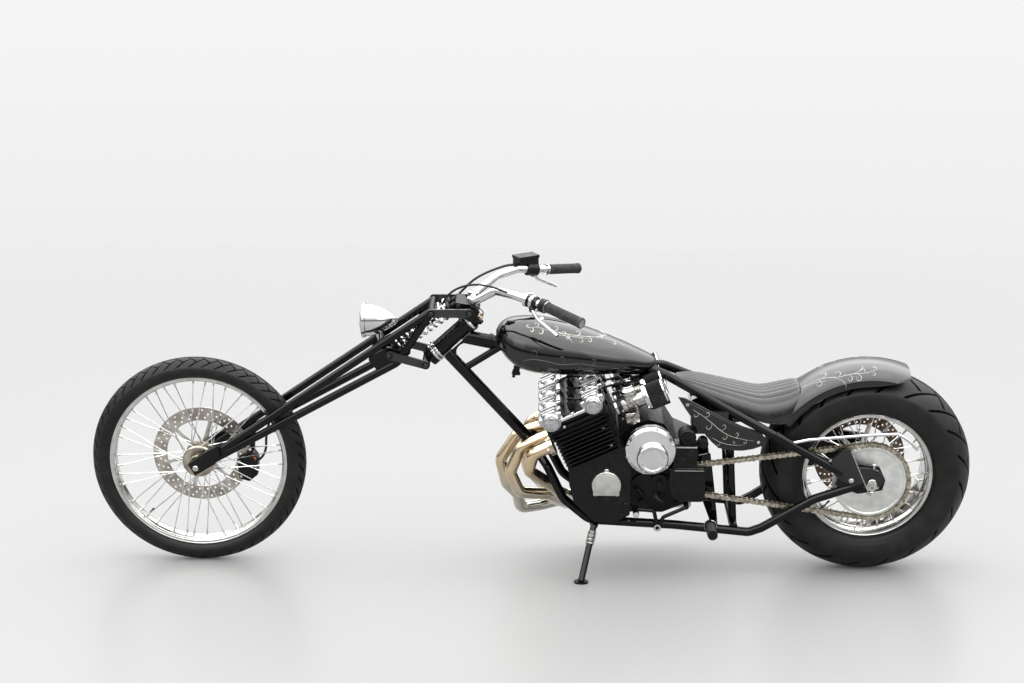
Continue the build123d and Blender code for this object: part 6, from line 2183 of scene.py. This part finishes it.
@dataclass
class RunningGear:
    """Pegs, pedals, stand, axle ends, calipers and exhaust clamps."""

    def pegs(self) -> None:
        """Dress the foot pegs in ribbed rubber with chrome bands, and the toe pegs too."""
        rubber, chrome = Shape(), Shape()
        foot, tip = Vector((493, 166, 192.8)), Vector((493, 254.6, 200.9))
        length = (tip - foot).length
        profile = [(0, 0), (15.4, 0)]
        for number in range(12):
            low = 2 + number * (length - 10) / 12
            profile += [(14.6, low), (16.2, low + 1.8), (16.2, low + 4.2), (14.6, low + 6)]
        profile += [(14.6, length - 8), (15.8, length - 6), (15.8, length - 1), (13, length), (0, length)]
        rubber.turned(profile, foot, tip - foot, 28)
        rubber.mirrored()
        rubber.piece("peg_rubbers", Body.CHASSIS, HOSE_RUBBER, Slot.GRIP, (), 25.0)
        chrome.ringed([(14.2, 0), (19.6, 0.5), (20, 2), (20, 10), (19.6, 11.5), (14.2, 12)],
                      (493, 150, 191.2), (0, 1, 0.1), 32)
        chrome.turned([(0, 0), (9.2, 0), (9.8, 2), (9.8, 54), (9.2, 56), (6, 56.6), (0, 56.6)],
                      (727, 158, 247), (0, 1, 0.03), 24)
        chrome.ringed([(6.2, 0), (10.6, 0), (10.6, 4), (6.2, 4)], (657, 149.5, 182), ACROSS, 20)
        chrome.mirrored()
        chrome.piece("peg_chrome", Body.CHASSIS, CHROME, Slot.CHROME)

    def axle_ends(self) -> None:
        """Add the axle blocks with their nuts, their adjuster bolts and the chain guard's curved end."""
        metal, black, rod = Shape(), Shape(), Shape()
        nose = [(46, 394), (8, 392), (-18, 384), (-32, 370), (-37, 352), (-32, 336),
                (-18, 325), (10, 322), (60, 330), (84, 348), (80, 372)]
        black.slab(nose, 155.0, 162.0, 2.6, 3)
        black.slab([(26, 384), (-8, 380), (-26, 366), (8, 366), (36, 372)], 161.0, 164.4, 1.6, 2)
        metal.ringed([(5.3, 0), (13, 0), (13.4, 1.2), (13.4, 5), (12.2, 6.2), (9.4, 6.2), (8.6, 4.8),
                      (5.3, 4.8)], (0.0, 161.4, REAR_AXLE.z + 10.0), ACROSS, 32)
        for x, z, way in ((-4, 396, 1), (-2, 318, -1)):
            metal.turned([(0, -8), (4.4, -8), (4.4, 4), (7.6, 4.6), (8.4, 7), (7.6, 10), (5, 11.6), (0, 12)],
                         (x, 158.6, z), (0, 0.2, way), 20)
        metal.hexagon((64, 161.4, 350), ACROSS, 6.0, 4.4, 8.0)
        metal.swept([(70, 163.4, 448), (8, 163.4, 308)], 2.0, 10)
        black.slab([(72, 450), (98, 446), (128, 414), (122, 372), (100, 350), (44, 328),
                    (18, 330)], 154.0, 161.6, 1.4, 2)
        rod.swept(smooth_line([(-60, 150.2, 499.4), (-84, 150, 493), (-112, 149.6, 473), (-136, 149, 448)],
                              6), 4.7, 12)
        rod.block((-74, 146, 498), (16, 10, 12), 2.0)
        metal.mirrored()
        black.mirrored()
        metal.piece("axle_nuts", Body.CHASSIS, POLISHED, Slot.CHROME)
        black.piece("axle_blocks", Body.CHASSIS, GLOSS_BLACK, Slot.FRAME)
        rod.piece("chain_guard_end", Body.CHASSIS, CHROME, Slot.CHROME)

    def calipers(self) -> None:
        """Add pistons and pins to the calipers, and the bleed screw and copper cap of the front one."""
        dark, metal, dot = Shape(), Shape(), Shape()
        for x, z in ((1955, 322), (1958, 284)):
            dark.turned([(0, 0), (16, 0), (17, 2), (17, 7), (14, 9), (0, 9)], (x, -28.5, z), ACROSS, 28)
            dark.turned([(0, 0), (16, 0), (17, 2), (17, 6), (14, 8), (0, 8)], (x, -67.5, z), -ACROSS, 28)
        for x, z in ((1930, 304), (1978, 270), (1982, 320)):
            metal.domed((x, -27.5, z), ACROSS, 5.0, 4.0)
        metal.turned([(0, 0), (4, 0), (4, 5), (2.4, 7), (2.4, 14), (0, 14)], (1948, -45, 350), (0.2, 0, 1),
                     12)
        dot.turned([(0, 0), (7, 0), (7, 1.2), (5, 1.8), (0, 1.8)], (1934, -27.6, 330), ACROSS, 20)
        dark.piece("caliper_pistons", Body.STEERING, SATIN_BLACK, Slot.ENGINE)
        metal.piece("caliper_pins", Body.STEERING, BOLT_ZINC, Slot.CHROME)
        dot.piece("caliper_cap", Body.STEERING, MARKER_ORANGE, Slot.ENGINE)
        rear = Shape()
        for x, z in ((104, 410), (138, 402)):
            rear.turned([(0, 0), (15, 0), (16, 2), (16, 6), (13, 8), (0, 8)], (x, -128.0, z), -ACROSS, 28)
        rear.piece("rear_caliper_pistons", Body.CHASSIS, SATIN_BLACK, Slot.ENGINE)

    def exhaust_flanges(self) -> None:
        """Add the finned clamps that hold the headers to the head, with their nuts."""
        clamps, nuts = Shape(), Shape()
        for row in CYLINDER_ROWS:
            at = Vector((985.0, row, 455.0))
            along = Vector((0.9, 0, -0.43)).normalized()
            clamps.ringed([(19.4, 0), (28.6, 0), (28.6, 3), (26, 3.4), (26, 5), (28.6, 5.4), (28.6, 8.4),
                           (26, 8.8), (26, 10.4), (27.6, 10.8), (27.6, 14), (19.4, 14)], at, along, 32)
            for edge in (-1, 1):
                nuts.hexagon(at + ACROSS * edge * 24 + along * 13, along, 5.0, 6.0, 7.0)
        clamps.piece("exhaust_clamps", Body.CHASSIS, ALLOY, Slot.HEADER, (), 30.0)
        nuts.piece("exhaust_nuts", Body.CHASSIS, BOLT_ZINC, Slot.HEADER)

    def stand(self) -> None:
        """Add the stand's spring and foot pad rim."""
        parts, spring = Shape(), Shape()
        foot = Vector((894.0, 254.0, 254.0 * math.tan(LEAN)))
        up = Vector((0.0, -math.sin(LEAN), math.cos(LEAN)))
        parts.ringed([(18, 0.3), (21.9, 0.3), (21.9, 6.6), (18, 6.6)], foot, up, 32)
        parts.piece("stand_foot_rim", Body.STAND, FRAME_BLACK, Slot.FRAME)
        pivot = Vector((854, 150, 192))
        leg = (foot - pivot).normalized()
        line = []
        basis = Shape.basis(pivot + leg * 24, leg)
        for step in range(121):
            turn = 2 * math.pi * 10 * step / 120
            line.append(basis @ Vector((12.6 * math.cos(turn), 12.6 * math.sin(turn), step * 0.36)))
        spring.swept(line, 1.3, 6)
        spring.piece("stand_spring", Body.STAND, BOLT_ZINC, Slot.CHROME)

    def build(self) -> None:
        """Build the running gear's small parts."""
        self.pegs()
        self.axle_ends()
        self.calipers()
        self.exhaust_flanges()
        self.stand()


def main() -> None:
    """Build every part of the machine, in order."""
    logging.basicConfig(level=logging.INFO, format="%(name)s: %(message)s")
    Studio().build()
    CadFinish().build()
    Cord("brake_hose_line", "brake_hose", HOSE_ROUTE, 4.0, 1.127, HOSE_RUBBER, "medium").build()
    Cord("clutch_cable_line", "clutch_cable", CABLE_ROUTE, 3.5, 0.317, HOSE_RUBBER, "stiff").build()
    WireWheel(
        "front", Body.FRONT_WHEEL, FRONT_AXLE, 338.5, 41.0, 40.0, 33.0, 281.0, 29.0, 46.0, 26.0, 50.0, 20.9,
        156.0, 112.0, 36.0, 50, 1.0, 0.085, "front_disc", HUB_ALLOY,
    ).build()
    WireWheel(
        "rear", Body.REAR_WHEEL, REAR_AXLE, 330.5, 100.0, 115.0, 86.0, 204.0, 73.0, 108.0, 34.0, 50.0, 52.6,
        145.0, 105.0, 46.0, 20, 0.9, 0.075, "rear_disc", POLISHED, (0.13, 0.095, 0.065),
        (0.08, 0.056, 0.038),
    ).build()
    ChainDrive().build()
    FuelTank().build()
    Saddle().build()
    RearFender().build()
    SidePanel().build()
    Headlight().build()
    GirderFork().build()
    Handlebars().build()
    Engine().build()
    RunningGear().build()


if __name__ == "__main__":
    main()
